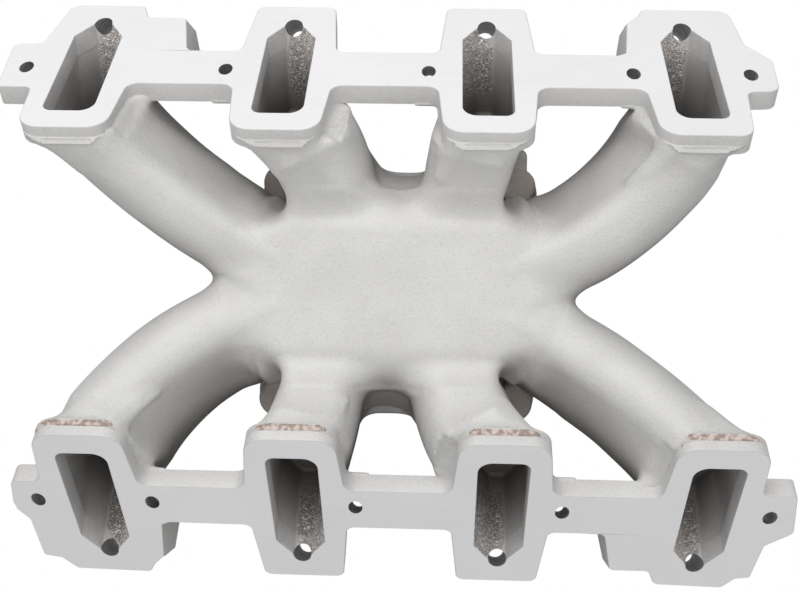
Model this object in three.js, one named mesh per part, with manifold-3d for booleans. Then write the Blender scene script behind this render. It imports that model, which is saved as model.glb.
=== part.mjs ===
// Bare intake manifold casting for a V8 engine: eight curved runners join a shared plenum
// to two slanted head flanges, and a four-stud carburettor flange closes the plenum.
//
// Units are millimetres. The manifold lies upside down on its carburettor flange:
// z = 0 is the machined carburettor face, +Z points towards the engine, X runs along the
// crankshaft, and the Z axis passes through the centre of the carburettor flange.
// Bank b is bank a turned half a turn about Z, apart from small differences at the ends.

import * as THREE from 'three';
import { mergeVertices } from 'three/addons/utils/BufferGeometryUtils.js';
import Module from 'manifold-3d';

// ---------------------------------------------------------------- driving dimensions

const BORE_SPACING = 111.76;          // cylinder bore spacing, 4.400 in
const BANK_STAGGER = 11.4;            // offset along X between the two banks
const FACE_TILT = Math.PI / 4;        // head faces lean 45 degrees from vertical
const PORT_EDGE_Y = 90.8;             // inner edge of the ports, from the centre line
const PORT_EDGE_Z = 118;              // height of that edge above the carburettor face

const FLANGE_THICK = 10.5;            // head flange, square to its face
const PAD_TOP = 109;                  // outer edge of a pad, measured down the face
const PAD_FOOT = -15.4;               // inner edge of a pad, measured down the face
const PAD_HALF = 27;                  // half width of a pad at the rail
const PAD_FOOT_HALF = 23.5;
const PAD_FOOT_R = 12;
const PAD_TOP_HALF = 22.5;
const PAD_TOP_R = 5;
const RAIL_IN = 26.3;                 // inner edge of the rail bars
const RAIL_OUT = 60;                  // outer edge of the rail bars

const PORT_HALF = 13.7;               // half width of a port
const PORT_SHOULDER = 74;             // where the port starts to narrow
const PORT_CREST = 88;                // top of the narrowed part
const PORT_CREST_HALF = 4.6;
const PORT_FOOT_R = 6;
const PORT_SHOULDER_R = 2;
const INJECTOR_BORE_AT = 87;          // injector bore axis, measured down the face
const INJECTOR_BORE_R = 5.2;
const INJECTOR_BOSS_R = 11;
const INJECTOR_SEAT_Z = 24;           // flat that the injector is pushed in from

const BOLT_AT = 41;                   // bolt axis, measured down the face
const BOLT_OFFSET = 31.5;             // bolt to port centre
const BOLT_OFFSET_END = 28.5;         // the same for the fifth bolt
const BOLT_HOLE_R = 3.9;
const BOLT_BOSS_R = 9.5;
const BOLT_SEAT_Z = 60;               // spot face under the bolt heads

const LUG_OUT = 95.3;                 // outer edge of the bracket lugs on the face
const LUG_SEAT_Z = 24;                // level back of the lugs, whose walls are upright
const LUG_WIDE_TO = 49;               // far side of the wide lug, from the port centre
const LUG_NARROW_TO = 34;             // the same for the narrow lug

const TAB_IN = 21.5;                  // inner edge of the end tabs
const TAB_HALF = 46;                  // end of a tab, from the port centre
const TAB_SPREAD = 1;                 // how much a tab widens towards its outer corner
const TAB_IN_R = 4;
const TAB_OUT_R = 6;
const TAB_SHOULDER = 65;              // where a plain tab meets its pad
// On bank b a block beside the pad stands on each tab: its half width and outer edge.
const TAB_BLOCKS = { a: [null, null], b: [{ half: 33, out: 99 }, { half: 40, out: 96 }] };
const BLOCK_FOOT = 66;
const BLOCK_FOOT_R = 3;
const BLOCK_OUT_R = 2;

const RUNNER_CENTRE_AT = 39.5;        // runner axis at the flange, down the face
const RUNNER_Z = 61;                  // runner axis where it enters the plenum
const THROAT_SHARE = 0.46;            // part of an outer runner's axis that its throat takes
// Sections of a runner; lift moves a section off the axis, towards the valley floor.
const RUNNER_OUTER_START = { width: 52, height: 109, lift: 4.5, squareness: 3 };
const RUNNER_OUTER_END = { width: 54, height: 70, lift: 0, squareness: 3 };
const RUNNER_INNER_START = { width: 27.4, height: 78, lift: 0, squareness: 4 };
const RUNNER_INNER_END = { width: 40, height: 56, lift: 0, squareness: 4 };
const PASSAGE_OVERRUN = 2;            // past the plenum end of a runner
const MOUTH_OVERRUN = 12;             // through the plenum wall
const RUNNER_STEPS = 7;
const SECTION_POINTS = 16;

const PLENUM_TOP = 96;                // outside of the plenum floor
const PLENUM_WALL = 6;
const PLENUM_HALF_Y = 52;
const PLENUM_CORNER_X = 74;           // corners of the six-sided plan
const PLENUM_NOSE_X = 97;
const PLENUM_NOSE_Y = 5.5;

const CARB_FLANGE_X = 168;
const CARB_FLANGE_Y = 148;
const CARB_FLANGE_THICK = 12;
const CARB_CORNER_R = 16;
const CARB_OPENING_X = 108;
const CARB_OPENING_Y = 96;
const CARB_OPENING_R = 23;
const STUD_X = 142.9 / 2;             // square-flange carburettor pattern, 5-5/8 in
const STUD_Y = 131 / 2;               // and 5-5/32 in
const STUD_HOLE_R = 3.3;
const STUD_HOLE_DEPTH = 19;
const STUD_BOSS_R = 12.5;
const STUD_BOSS_Z = 24;
const LINKAGE_EAR = { fromX: 46, toX: 78, fromY: 62, toY: 90, radius: 5, thick: 10 };

const GAP = 0.3;                      // between neighbouring sections of the casting
const BOSS_GAP = 1;                   // between a boss and the runner beside it
const WELD = 0.02;
const ARC_STEP = Math.PI / 6;
const CLEAR = 200;                    // further than any point is from the carburettor face
const OVERCUT = 5;                    // a cutter stands out this far from what it cuts

const PORT_X = [-1.5, -0.5, 0.5, 1.5].map((n) => n * BORE_SPACING - BANK_STAGGER / 2);

// ---------------------------------------------------------------- materials

function castAluminium(color) {
  return new THREE.MeshStandardMaterial({ color, roughness: 0.62, metalness: 0.75 });
}
const MATERIALS = {
  machined: new THREE.MeshStandardMaterial({ color: 0xe2e2e4, roughness: 0.34, metalness: 0.9 }),
  cast: castAluminium(0xc8c7c3),
  boss: castAluminium(0xb9b0a6),
};

// ---------------------------------------------------------------- solids

const wasm = await Module();
wasm.setup();

function toSolid(geometry) {
  const bare = geometry.index ? geometry.toNonIndexed() : geometry.clone();
  bare.deleteAttribute('normal');
  bare.deleteAttribute('uv');
  const merged = mergeVertices(bare, 1e-4);
  return new wasm.Manifold(new wasm.Mesh({
    numProp: 3,
    vertProperties: new Float32Array(merged.attributes.position.array),
    triVerts: new Uint32Array(merged.index.array),
  }));
}

// Points closer than WELD become one, and the triangles that this flattens go.
function toGeometry(solid) {
  const mesh = solid.getMesh();
  const raw = new THREE.BufferGeometry();
  raw.setAttribute('position', new THREE.BufferAttribute(mesh.vertProperties, 3));
  raw.setIndex(new THREE.BufferAttribute(mesh.triVerts, 1));
  const geometry = mergeVertices(raw, WELD);
  const corners = geometry.index.array;
  const kept = [];
  for (let i = 0; i < corners.length; i += 3) {
    const [a, b, c] = corners.slice(i, i + 3);
    if (a !== b && b !== c && c !== a) kept.push(a, b, c);
  }
  geometry.setIndex(kept);
  return geometry;
}

// Corners are [x, y, radius]; each becomes an arc tangent to both of its edges.
function roundedOutline(corners) {
  const points = [];
  corners.forEach(([x, y, radius], i) => {
    const corner = new THREE.Vector2(x, y);
    const [bx, by] = corners[(i + corners.length - 1) % corners.length];
    const [ax, ay] = corners[(i + 1) % corners.length];
    const back = new THREE.Vector2(bx, by).sub(corner).normalize();
    const ahead = new THREE.Vector2(ax, ay).sub(corner).normalize();
    const angle = Math.acos(THREE.MathUtils.clamp(back.dot(ahead), -1, 1));
    if (!radius || Math.PI - angle < 0.05) {
      points.push(corner);
      return;
    }
    const middle = back.clone().add(ahead).normalize();
    const centre = corner.clone().addScaledVector(middle, radius / Math.sin(angle / 2));
    const tangent = radius / Math.tan(angle / 2);
    const from = corner.clone().addScaledVector(back, tangent).sub(centre);
    const to = corner.clone().addScaledVector(ahead, tangent).sub(centre);
    const sweep = Math.atan2(from.cross(to), from.dot(to));
    const steps = Math.max(1, Math.ceil(Math.abs(sweep) / ARC_STEP));
    for (let s = 0; s <= steps; s++) {
      points.push(from.clone().rotateAround(new THREE.Vector2(), (sweep * s) / steps).add(centre));
    }
  });
  return points;
}

function prism(corners, low, high) {
  const shape = new THREE.Shape(roundedOutline(corners));
  const geometry = new THREE.ExtrudeGeometry(shape, { depth: high - low, bevelEnabled: false });
  geometry.translate(0, 0, low);
  return geometry;
}

function rectangle(halfX, halfY, radius) {
  return [
    [-halfX, -halfY, radius],
    [halfX, -halfY, radius],
    [halfX, halfY, radius],
    [-halfX, halfY, radius],
  ];
}

function uprightCylinder(x, y, radius, low, high, sides) {
  const geometry = new THREE.CylinderGeometry(radius, radius, high - low, sides);
  geometry.rotateX(Math.PI / 2);
  geometry.translate(x, y, (low + high) / 2);
  return toSolid(geometry);
}

// ---------------------------------------------------------------- head face of bank a

// Face coordinates are (x, distance down the face, height above the face).
const DOWN_FACE = new THREE.Vector3(0, Math.cos(FACE_TILT), -Math.sin(FACE_TILT));
const OUT_OF_FACE = new THREE.Vector3(0, Math.sin(FACE_TILT), Math.cos(FACE_TILT));
const FACE_FRAME = new THREE.Matrix4()
  .makeBasis(new THREE.Vector3(1, 0, 0), DOWN_FACE, OUT_OF_FACE)
  .setPosition(0, PORT_EDGE_Y, PORT_EDGE_Z);
const BACK = -FLANGE_THICK;

function onFace(x, down, above) {
  return new THREE.Vector3(x, down, above).applyMatrix4(FACE_FRAME);
}

function facePlate(corners, low = BACK, high = 0) {
  return toSolid(prism(corners, low, high).applyMatrix4(FACE_FRAME));
}

// Everything on the engine side of the back of the flange, less a gap.
function flangeSide() {
  const block = new THREE.BoxGeometry(4 * CLEAR, 4 * CLEAR, 2 * CLEAR);
  block.translate(0, 0, BACK - GAP + CLEAR);
  return toSolid(block.applyMatrix4(FACE_FRAME));
}
const FLANGE_SIDE = flangeSide();

function boltX(index) {
  const last = PORT_X.length;
  return index < last ? PORT_X[index] - BOLT_OFFSET : PORT_X[last - 1] + BOLT_OFFSET_END;
}

const BOLT_Y = onFace(0, BOLT_AT, 0).y;
const INJECTOR_Y = onFace(0, INJECTOR_BORE_AT, 0).y;

function boltHole(index) {
  return uprightCylinder(boltX(index), BOLT_Y, BOLT_HOLE_R, 0, CLEAR, 12);
}

function injectorBore(index) {
  return uprightCylinder(PORT_X[index], INJECTOR_Y, INJECTOR_BORE_R, 0, CLEAR, 14);
}

// ---------------------------------------------------------------- head flange pieces

function portOutline(x) {
  return [
    [x - PORT_HALF, 0, PORT_FOOT_R],
    [x + PORT_HALF, 0, PORT_FOOT_R],
    [x + PORT_HALF, PORT_SHOULDER, PORT_SHOULDER_R],
    [x + PORT_CREST_HALF, PORT_CREST, 0],
    [x - PORT_CREST_HALF, PORT_CREST, 0],
    [x - PORT_HALF, PORT_SHOULDER, PORT_SHOULDER_R],
  ];
}

// Half width of a pad beyond the rail, where its sides lean in.
function padHalf(down) {
  const lean = (down - RAIL_OUT) / (PAD_TOP - RAIL_OUT);
  return THREE.MathUtils.lerp(PAD_HALF, PAD_TOP_HALF, lean);
}

function flangePad(index) {
  const x = PORT_X[index];
  const outline = [
    [x - PAD_FOOT_HALF, PAD_FOOT, PAD_FOOT_R],
    [x + PAD_FOOT_HALF, PAD_FOOT, PAD_FOOT_R],
    [x + PAD_HALF, RAIL_IN, 0],
    [x + PAD_HALF, RAIL_OUT, 0],
    [x + PAD_TOP_HALF, PAD_TOP, PAD_TOP_R],
    [x - PAD_TOP_HALF, PAD_TOP, PAD_TOP_R],
    [x - PAD_HALF, RAIL_OUT, 0],
    [x - PAD_HALF, RAIL_IN, 0],
  ];
  const port = facePlate(portOutline(x), BACK - OVERCUT, OVERCUT);
  return facePlate(outline).subtract(port).subtract(injectorBore(index));
}

function railBar(index) {
  const left = PORT_X[index] + PAD_HALF + GAP;
  const right = PORT_X[index + 1] - PAD_HALF - GAP;
  const bar = facePlate([
    [left, RAIL_IN, 0],
    [right, RAIL_IN, 0],
    [right, RAIL_OUT, 0],
    [left, RAIL_OUT, 0],
  ]);
  return bar.subtract(boltHole(index + 1));
}

// side is -1 at the first port of the bank and +1 at the last.
function endTab(side, block) {
  const index = side < 0 ? 0 : PORT_X.length - 1;
  const x = PORT_X[index];
  const outline = [
    [x + side * (PAD_HALF + GAP), TAB_IN, 0],
    [x + side * TAB_HALF, TAB_IN, TAB_IN_R],
    [x + side * (TAB_HALF + TAB_SPREAD), RAIL_OUT, TAB_OUT_R],
  ];
  if (block) {
    outline.push([x + side * block.half, BLOCK_FOOT, BLOCK_FOOT_R]);
    outline.push([x + side * block.half, block.out, BLOCK_OUT_R]);
    outline.push([x + side * (padHalf(block.out) + GAP), block.out, 0]);
    outline.push([x + side * (PAD_HALF + GAP), RAIL_OUT, 0]);
  } else {
    outline.push([x + side * (PAD_HALF + GAP), TAB_SHOULDER, 0]);
  }
  const tab = facePlate(side < 0 ? outline.reverse() : outline);
  return tab.subtract(boltHole(side < 0 ? 0 : PORT_X.length));
}

// The wide lug follows the first port and the narrow lug comes before the last one.
// Its walls are upright and its back is level.
function bracketLug(fromX, toX) {
  const inner = onFace(0, RAIL_OUT + GAP, 0);
  const outer = onFace(0, LUG_OUT, 0);
  const shape = new THREE.Shape();
  shape.moveTo(inner.y, inner.z);
  shape.lineTo(outer.y, outer.z);
  shape.lineTo(outer.y, LUG_SEAT_Z);
  shape.lineTo(inner.y, LUG_SEAT_Z);
  const geometry = new THREE.ExtrudeGeometry(shape, { depth: toX - fromX, bevelEnabled: false });
  const turn = new THREE.Matrix4().makeBasis(
    new THREE.Vector3(0, 1, 0),
    new THREE.Vector3(0, 0, 1),
    new THREE.Vector3(1, 0, 0),
  );
  geometry.applyMatrix4(turn);
  geometry.translate(fromX, 0, 0);
  return toSolid(geometry);
}

// ---------------------------------------------------------------- runners

const INTO_PLENUM = OUT_OF_FACE.clone().negate();

// A runner is a cubic Bezier axis from the back of the flange to the plenum wall.
const LEFT_NOSE = plenumSide(-PLENUM_NOSE_X, PLENUM_NOSE_Y, -PLENUM_CORNER_X);
const RIGHT_NOSE = plenumSide(PLENUM_NOSE_X, -PLENUM_NOSE_Y, PLENUM_CORNER_X);
const RUNNERS = [
  { ...LEFT_NOSE, firstArm: 24, lastArm: 52, width: 51 },
  { end: [-40, PLENUM_HALF_Y], heading: [0, -1], firstArm: 26, lastArm: 26, width: 57 },
  { end: [43, PLENUM_HALF_Y], heading: [0, -1], firstArm: 26, lastArm: 26, width: 52 },
  { ...RIGHT_NOSE, firstArm: 30, lastArm: 55, width: 57 },
];

// Middle and inward direction of the slanted plenum side between a nose and a corner.
function plenumSide(noseX, noseY, cornerX) {
  const side = new THREE.Vector2(cornerX - noseX, PLENUM_HALF_Y - noseY).normalize();
  const inward = new THREE.Vector2(-side.y, side.x).multiplyScalar(Math.sign(cornerX));
  return {
    end: [(noseX + cornerX) / 2, (noseY + PLENUM_HALF_Y) / 2],
    heading: inward.toArray(),
  };
}

function runnerAxis(index) {
  const { end, heading, firstArm, lastArm } = RUNNERS[index];
  const start = onFace(PORT_X[index], RUNNER_CENTRE_AT, BACK - GAP);
  const inward = new THREE.Vector3(heading[0], heading[1], 0).normalize();
  const finish = new THREE.Vector3(end[0], end[1], RUNNER_Z).addScaledVector(inward, -GAP);
  return new THREE.CubicBezierCurve3(
    start,
    start.clone().addScaledVector(INTO_PLENUM, firstArm),
    finish.clone().addScaledVector(inward, -lastArm),
    finish,
  );
}

function section(middle, along, { width, height, lift, squareness }) {
  const across = new THREE.Vector3(0, 0, 1).cross(along).normalize();
  const over = along.clone().cross(across).normalize();
  const centre = middle.clone().addScaledVector(over, lift);
  const ring = [];
  for (let k = 0; k < SECTION_POINTS; k++) {
    const angle = ((k + 0.5) / SECTION_POINTS) * 2 * Math.PI;
    const c = Math.cos(angle);
    const s = Math.sin(angle);
    const a = Math.sign(c) * Math.abs(c) ** (2 / squareness) * (width / 2);
    const b = Math.sign(s) * Math.abs(s) ** (2 / squareness) * (height / 2);
    ring.push(centre.clone().addScaledVector(across, a).addScaledVector(over, b));
  }
  return ring;
}

// Closed tube through the rings, with a flat cap on each end.
function loft(rings) {
  const count = rings[0].length;
  const positions = [];
  const triangle = (a, b, c) => positions.push(...a.toArray(), ...b.toArray(), ...c.toArray());
  for (let r = 0; r + 1 < rings.length; r++) {
    for (let k = 0; k < count; k++) {
      const next = (k + 1) % count;
      triangle(rings[r][k], rings[r][next], rings[r + 1][next]);
      triangle(rings[r][k], rings[r + 1][next], rings[r + 1][k]);
    }
  }
  const last = rings[rings.length - 1];
  for (let k = 1; k + 1 < count; k++) {
    triangle(rings[0][0], rings[0][k + 1], rings[0][k]);
    triangle(last[0], last[k], last[k + 1]);
  }
  const geometry = new THREE.BufferGeometry();
  geometry.setAttribute('position', new THREE.Float32BufferAttribute(positions, 3));
  return toSolid(geometry);
}

function runnerLoft(index, from, to, grow, startOverrun, endOverrun) {
  const axis = runnerAxis(index);
  const rings = [];
  const at = (t, shift) => {
    const along = axis.getTangent(t);
    const centre = axis.getPoint(t).addScaledVector(along, shift);
    rings.push(section(centre, along, {
      width: THREE.MathUtils.lerp(from.width, to.width, t) + 2 * grow,
      height: THREE.MathUtils.lerp(from.height, to.height, t) + 2 * grow,
      lift: THREE.MathUtils.lerp(from.lift, to.lift, t),
      squareness: from.squareness,
    }));
  };
  at(0, -startOverrun);
  for (let step = 0; step <= RUNNER_STEPS; step++) at(step / RUNNER_STEPS, 0);
  if (endOverrun) at(1, endOverrun);
  return loft(rings);
}

function runnerEnvelope(index, grow) {
  const end = { ...RUNNER_OUTER_END, width: RUNNERS[index].width };
  return runnerLoft(index, RUNNER_OUTER_START, end, grow, OVERCUT, 0);
}

function runnerPassage(index, endOverrun) {
  return runnerLoft(index, RUNNER_INNER_START, RUNNER_INNER_END, 0, 2 * OVERCUT, endOverrun);
}

function runner(index) {
  const body = runnerEnvelope(index, 0).subtract(FLANGE_SIDE);
  return body.subtract(runnerPassage(index, PASSAGE_OVERRUN));
}

// Everything past a cut square to the axis, a distance beyond the end of the throat.
function pastThroat(index, distance) {
  const axis = runnerAxis(index);
  const along = axis.getTangent(THROAT_SHARE);
  const middle = axis.getPoint(THROAT_SHARE).addScaledVector(along, distance + CLEAR);
  const geometry = new THREE.BoxGeometry(2 * CLEAR, 2 * CLEAR, 2 * CLEAR);
  geometry.applyQuaternion(new THREE.Quaternion().setFromUnitVectors(new THREE.Vector3(0, 0, 1), along));
  geometry.translate(middle.x, middle.y, middle.z);
  return toSolid(geometry);
}

// The long outer runners come in two sections: the throat at the flange, and the rest.
function placeRunner(parent, index, label) {
  const whole = runner(index);
  if (index > 0 && index < PORT_X.length - 1) {
    place(parent, `runner_${label}`, whole, MATERIALS.cast);
    return;
  }
  const throat = whole.subtract(pastThroat(index, -GAP / 2));
  place(parent, `runner_throat_${label}`, throat, MATERIALS.cast);
  place(parent, `runner_${label}`, whole.intersect(pastThroat(index, GAP / 2)), MATERIALS.cast);
}

// ---------------------------------------------------------------- bosses behind the flange

function boss(x, y, radius, seat, hole) {
  let solid = uprightCylinder(x, y, radius, seat, CLEAR, 14).subtract(hole).subtract(FLANGE_SIDE);
  PORT_X.forEach((_, index) => {
    solid = solid.subtract(runnerEnvelope(index, BOSS_GAP));
  });
  return solid;
}

function injectorBoss(index) {
  const bore = injectorBore(index);
  return boss(PORT_X[index], INJECTOR_Y, INJECTOR_BOSS_R, INJECTOR_SEAT_Z, bore);
}

function boltBoss(index) {
  return boss(boltX(index), BOLT_Y, BOLT_BOSS_R, BOLT_SEAT_Z, boltHole(index));
}

// ---------------------------------------------------------------- plenum and carburettor flange

function halfTurn(solid) {
  return solid.rotate([0, 0, 180]);
}

function plenumPlan(inset) {
  const half = [
    [PLENUM_NOSE_X - inset, -PLENUM_NOSE_Y, 0],
    [PLENUM_CORNER_X - inset * 0.6, PLENUM_HALF_Y - inset, 0],
    [-PLENUM_CORNER_X + inset * 0.6, PLENUM_HALF_Y - inset, 0],
  ];
  return [...half, ...half.map(([x, y, r]) => [-x, -y, r])];
}

function plenum() {
  const low = CARB_FLANGE_THICK + GAP;
  let shell = toSolid(prism(plenumPlan(0), low, PLENUM_TOP));
  const chamber = prism(plenumPlan(PLENUM_WALL), low - OVERCUT, PLENUM_TOP - PLENUM_WALL);
  shell = shell.subtract(toSolid(chamber));
  RUNNERS.forEach((_, index) => {
    const mouth = runnerPassage(index, MOUTH_OVERRUN);
    shell = shell.subtract(mouth).subtract(halfTurn(mouth));
  });
  return shell;
}

function carburettorFlange() {
  const plate = rectangle(CARB_FLANGE_X / 2, CARB_FLANGE_Y / 2, CARB_CORNER_R);
  let solid = toSolid(prism(plate, 0, CARB_FLANGE_THICK));
  const inPlan = toSolid(prism(plate, 0, STUD_BOSS_Z));
  const ear = [
    [LINKAGE_EAR.fromX, LINKAGE_EAR.fromY, 0],
    [LINKAGE_EAR.toX, LINKAGE_EAR.fromY, 0],
    [LINKAGE_EAR.toX, LINKAGE_EAR.toY, LINKAGE_EAR.radius],
    [LINKAGE_EAR.fromX, LINKAGE_EAR.toY, LINKAGE_EAR.radius],
  ];
  solid = solid.add(toSolid(prism(ear, 0, LINKAGE_EAR.thick)));
  const opening = rectangle(CARB_OPENING_X / 2, CARB_OPENING_Y / 2, CARB_OPENING_R);
  solid = solid.subtract(toSolid(prism(opening, -OVERCUT, CARB_FLANGE_THICK + OVERCUT)));
  for (const x of [-STUD_X, STUD_X]) {
    for (const y of [-STUD_Y, STUD_Y]) {
      const stub = uprightCylinder(x, y, STUD_BOSS_R, CARB_FLANGE_THICK - GAP, STUD_BOSS_Z, 14);
      solid = solid.add(stub.intersect(inPlan));
      solid = solid.subtract(uprightCylinder(x, y, STUD_HOLE_R, -OVERCUT, STUD_HOLE_DEPTH, 10));
    }
  }
  const wall = toSolid(prism(plenumPlan(-GAP), CARB_FLANGE_THICK, STUD_BOSS_Z + OVERCUT));
  return solid.subtract(wall);
}

// ---------------------------------------------------------------- assembly

const group = new THREE.Group();

function place(parent, name, solid, material) {
  const mesh = new THREE.Mesh(toGeometry(solid), material);
  mesh.name = name;
  parent.add(mesh);
}

function bank(letter) {
  const side = new THREE.Group();
  const last = PORT_X.length - 1;
  PORT_X.forEach((x, index) => {
    const n = index + 1;
    place(side, `flange_pad_${letter}${n}`, flangePad(index), MATERIALS.machined);
    placeRunner(side, index, `${letter}${n}`);
    place(side, `injector_boss_${letter}${n}`, injectorBoss(index), MATERIALS.boss);
    if (index < last) place(side, `rail_bar_${letter}${n}`, railBar(index), MATERIALS.machined);
  });
  for (let index = 0; index <= PORT_X.length; index++) {
    place(side, `bolt_boss_${letter}${index + 1}`, boltBoss(index), MATERIALS.boss);
  }
  place(side, `end_tab_${letter}1`, endTab(-1, TAB_BLOCKS[letter][0]), MATERIALS.machined);
  place(side, `end_tab_${letter}2`, endTab(1, TAB_BLOCKS[letter][1]), MATERIALS.machined);
  const wide = bracketLug(PORT_X[0] + PAD_HALF + GAP, PORT_X[0] + LUG_WIDE_TO);
  const narrow = bracketLug(PORT_X[last] - LUG_NARROW_TO, PORT_X[last] - PAD_HALF - GAP);
  place(side, `bracket_lug_${letter}1`, wide, MATERIALS.machined);
  place(side, `bracket_lug_${letter}2`, narrow, MATERIALS.machined);
  return side;
}

group.add(bank('a'));
const bankB = bank('b');
bankB.rotation.z = Math.PI;
group.add(bankB);
place(group, 'plenum', plenum(), MATERIALS.cast);
place(group, 'carburettor_flange', carburettorFlange(), MATERIALS.machined);

export default group;
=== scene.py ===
import math

import bmesh
import bpy
import numpy as np
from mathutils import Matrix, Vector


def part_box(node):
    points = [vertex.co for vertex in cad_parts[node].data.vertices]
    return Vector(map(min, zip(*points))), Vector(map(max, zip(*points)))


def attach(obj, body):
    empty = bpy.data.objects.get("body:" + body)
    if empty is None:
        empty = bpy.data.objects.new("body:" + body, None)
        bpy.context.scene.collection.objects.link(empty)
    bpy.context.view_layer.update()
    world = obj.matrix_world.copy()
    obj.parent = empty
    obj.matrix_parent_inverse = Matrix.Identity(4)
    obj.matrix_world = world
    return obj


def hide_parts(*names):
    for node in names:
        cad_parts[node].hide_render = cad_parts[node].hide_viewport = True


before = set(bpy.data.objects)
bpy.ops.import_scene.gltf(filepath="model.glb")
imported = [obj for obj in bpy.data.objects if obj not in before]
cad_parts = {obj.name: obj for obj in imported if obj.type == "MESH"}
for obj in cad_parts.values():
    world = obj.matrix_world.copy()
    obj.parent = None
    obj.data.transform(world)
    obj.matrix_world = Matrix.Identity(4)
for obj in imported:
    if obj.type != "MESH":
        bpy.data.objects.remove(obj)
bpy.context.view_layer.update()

import openvdb
from mathutils import Euler, Matrix, Vector
from mathutils.geometry import tessellate_polygon

# A bare intake manifold casting, lying upside down on its carburettor flange.
# Shapes are worked out in millimetres in the row frame and become metres in new_object().
MM = 0.001

# ---- dimensions from the frame


def node_middle_x(name):
    low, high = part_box(name)
    return float(low[0] / MM + high[0] / MM) / 2


PORT_X = [node_middle_x(f"flange_pad_a{n}") for n in (1, 2, 3, 4)]
BOLT_X = [node_middle_x(f"bolt_boss_a{n}") for n in (1, 2, 3, 4, 5)]

# ---- head face

# Face coordinates are (x, distance down the face, height above the face), for bank a.
TILT = math.radians(45)
PORT_EDGE_Y = 90.8
PORT_EDGE_Z = 118.0
PLATE = 11.5                # thickness of the head flange
CAST_TOP = 11.2             # depth at which the casting ends under the flange
LEDGE_DEPTH = 6.2           # depth of the milled ledge at the foot of a pad
SHOULDER_TOP = 5.6          # depth at which the cast skin starts beside the flange
LEDGE_EDGE = -17.8          # how far the ledge reaches past the foot of a pad
DOWN = Vector((0, math.cos(TILT), -math.sin(TILT)))
OUT = Vector((0, math.sin(TILT), math.cos(TILT)))
FACE = Matrix((
    (1, 0, 0, 0),
    (0, DOWN.y, OUT.y, PORT_EDGE_Y),
    (0, DOWN.z, OUT.z, PORT_EDGE_Z),
    (0, 0, 0, 1),
))


def on_face(x, down, above=0.0):
    return FACE @ Vector((x, down, above))


BOLT_AT = 41.0
BOLT_R = 3.9
BOLT_Y = on_face(0, BOLT_AT).y
BOLT_SEAT_Z = 60.0
BOLT_BOSS_R = 9.5
INJECTOR_AT = 87.0
INJECTOR_R = 5.2
INJECTOR_Y = on_face(0, INJECTOR_AT).y
INJECTOR_SEAT_Z = 24.0
INJECTOR_BOSS_R = 11.0
THROUGH = (2, 140)          # heights between which the holes are drilled

PORT_HALF = 13.7
PORT_SHOULDER = 74.0
PORT_CREST = 88.0
PORT_CREST_HALF = 4.6
PORT_LEAN = 0.305           # how far the end wall of a port leans in, per mm of depth
RAIL_OUT = 60.0
LUG_OUT = 95.3
LUG_SEAT_Z = 24.0

STUDS = [(sx * 71.45, sy * 65.5) for sx in (-1, 1) for sy in (-1, 1)]
STUD_R = 3.3
STUD_BOSS_R = 11.2
STUD_BOSS_TOP = 24
STUD_DEPTH = 19
CARB_THICK = 12.0
CARB_HALF = (84, 74)
MOUTH_HALF = (54, 48)
BELOW = -6                  # where the field's shapes end under the carburettor face

# ---- outlines


def rounded(corners, step=math.radians(9)):
    """Corners are (x, y, radius); each becomes an arc tangent to both of its edges."""
    points = []
    count = len(corners)
    for i, (x, y, radius) in enumerate(corners):
        corner = Vector((x, y))
        back = (Vector(corners[i - 1][:2]) - corner).normalized()
        ahead = (Vector(corners[(i + 1) % count][:2]) - corner).normalized()
        angle = back.angle(ahead)
        if not radius or math.pi - angle < 0.05:
            points.append((x, y))
            continue
        middle = (back + ahead).normalized()
        centre = corner + middle * (radius / math.sin(angle / 2))
        tangent = radius / math.tan(angle / 2)
        start = corner + back * tangent - centre
        end = corner + ahead * tangent - centre
        sweep = math.atan2(start.x * end.y - start.y * end.x, start.dot(end))
        steps = max(2, math.ceil(abs(sweep) / step))
        for s in range(steps + 1):
            turned = Matrix.Rotation(sweep * s / steps, 2) @ start + centre
            points.append((turned.x, turned.y))
    return points


def pad_foot(x, right_radius=12):
    return [(x - 23.5, -15.4, 12), (x + 23.5, -15.4, right_radius)]


# Ends of the flange, beyond the last straight of the rail: what differs between the banks.
ENDS = {
    "a": {
        "first_in": [(-44, 21.5, 3), (-25.2, 21.5, 4)],
        "first_out": [(-23, 108.5, 6), (-30, 66, 4), (-46.5, 65, 4)],
        "last_in": [(26.5, 24.5, 4.5), (44, 25.5, 7)],
        "last_out": [(45.5, 56, 5), (33, 72, 5), (29, 109, 8)],
        "last_foot": 8,
    },
    "b": {
        "first_in": [(-43.5, 21.5, 3), (-25.2, 21.5, 4)],
        "first_out": [(-18.6, 110, 3), (-25, 100.5, 3), (-33, 99, 2), (-35, 67.5, 4), (-48.5, 55, 5)],
        "last_in": [(26.5, 24.5, 4.5), (43, 25, 5)],
        "last_out": [(45.9, 44, 6), (45.2, 51, 4), (40, 60, 6), (39.8, 95, 2), (30, 97.5, 3), (22.5, 108, 2)],
        "last_foot": 12,
    },
}


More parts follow.
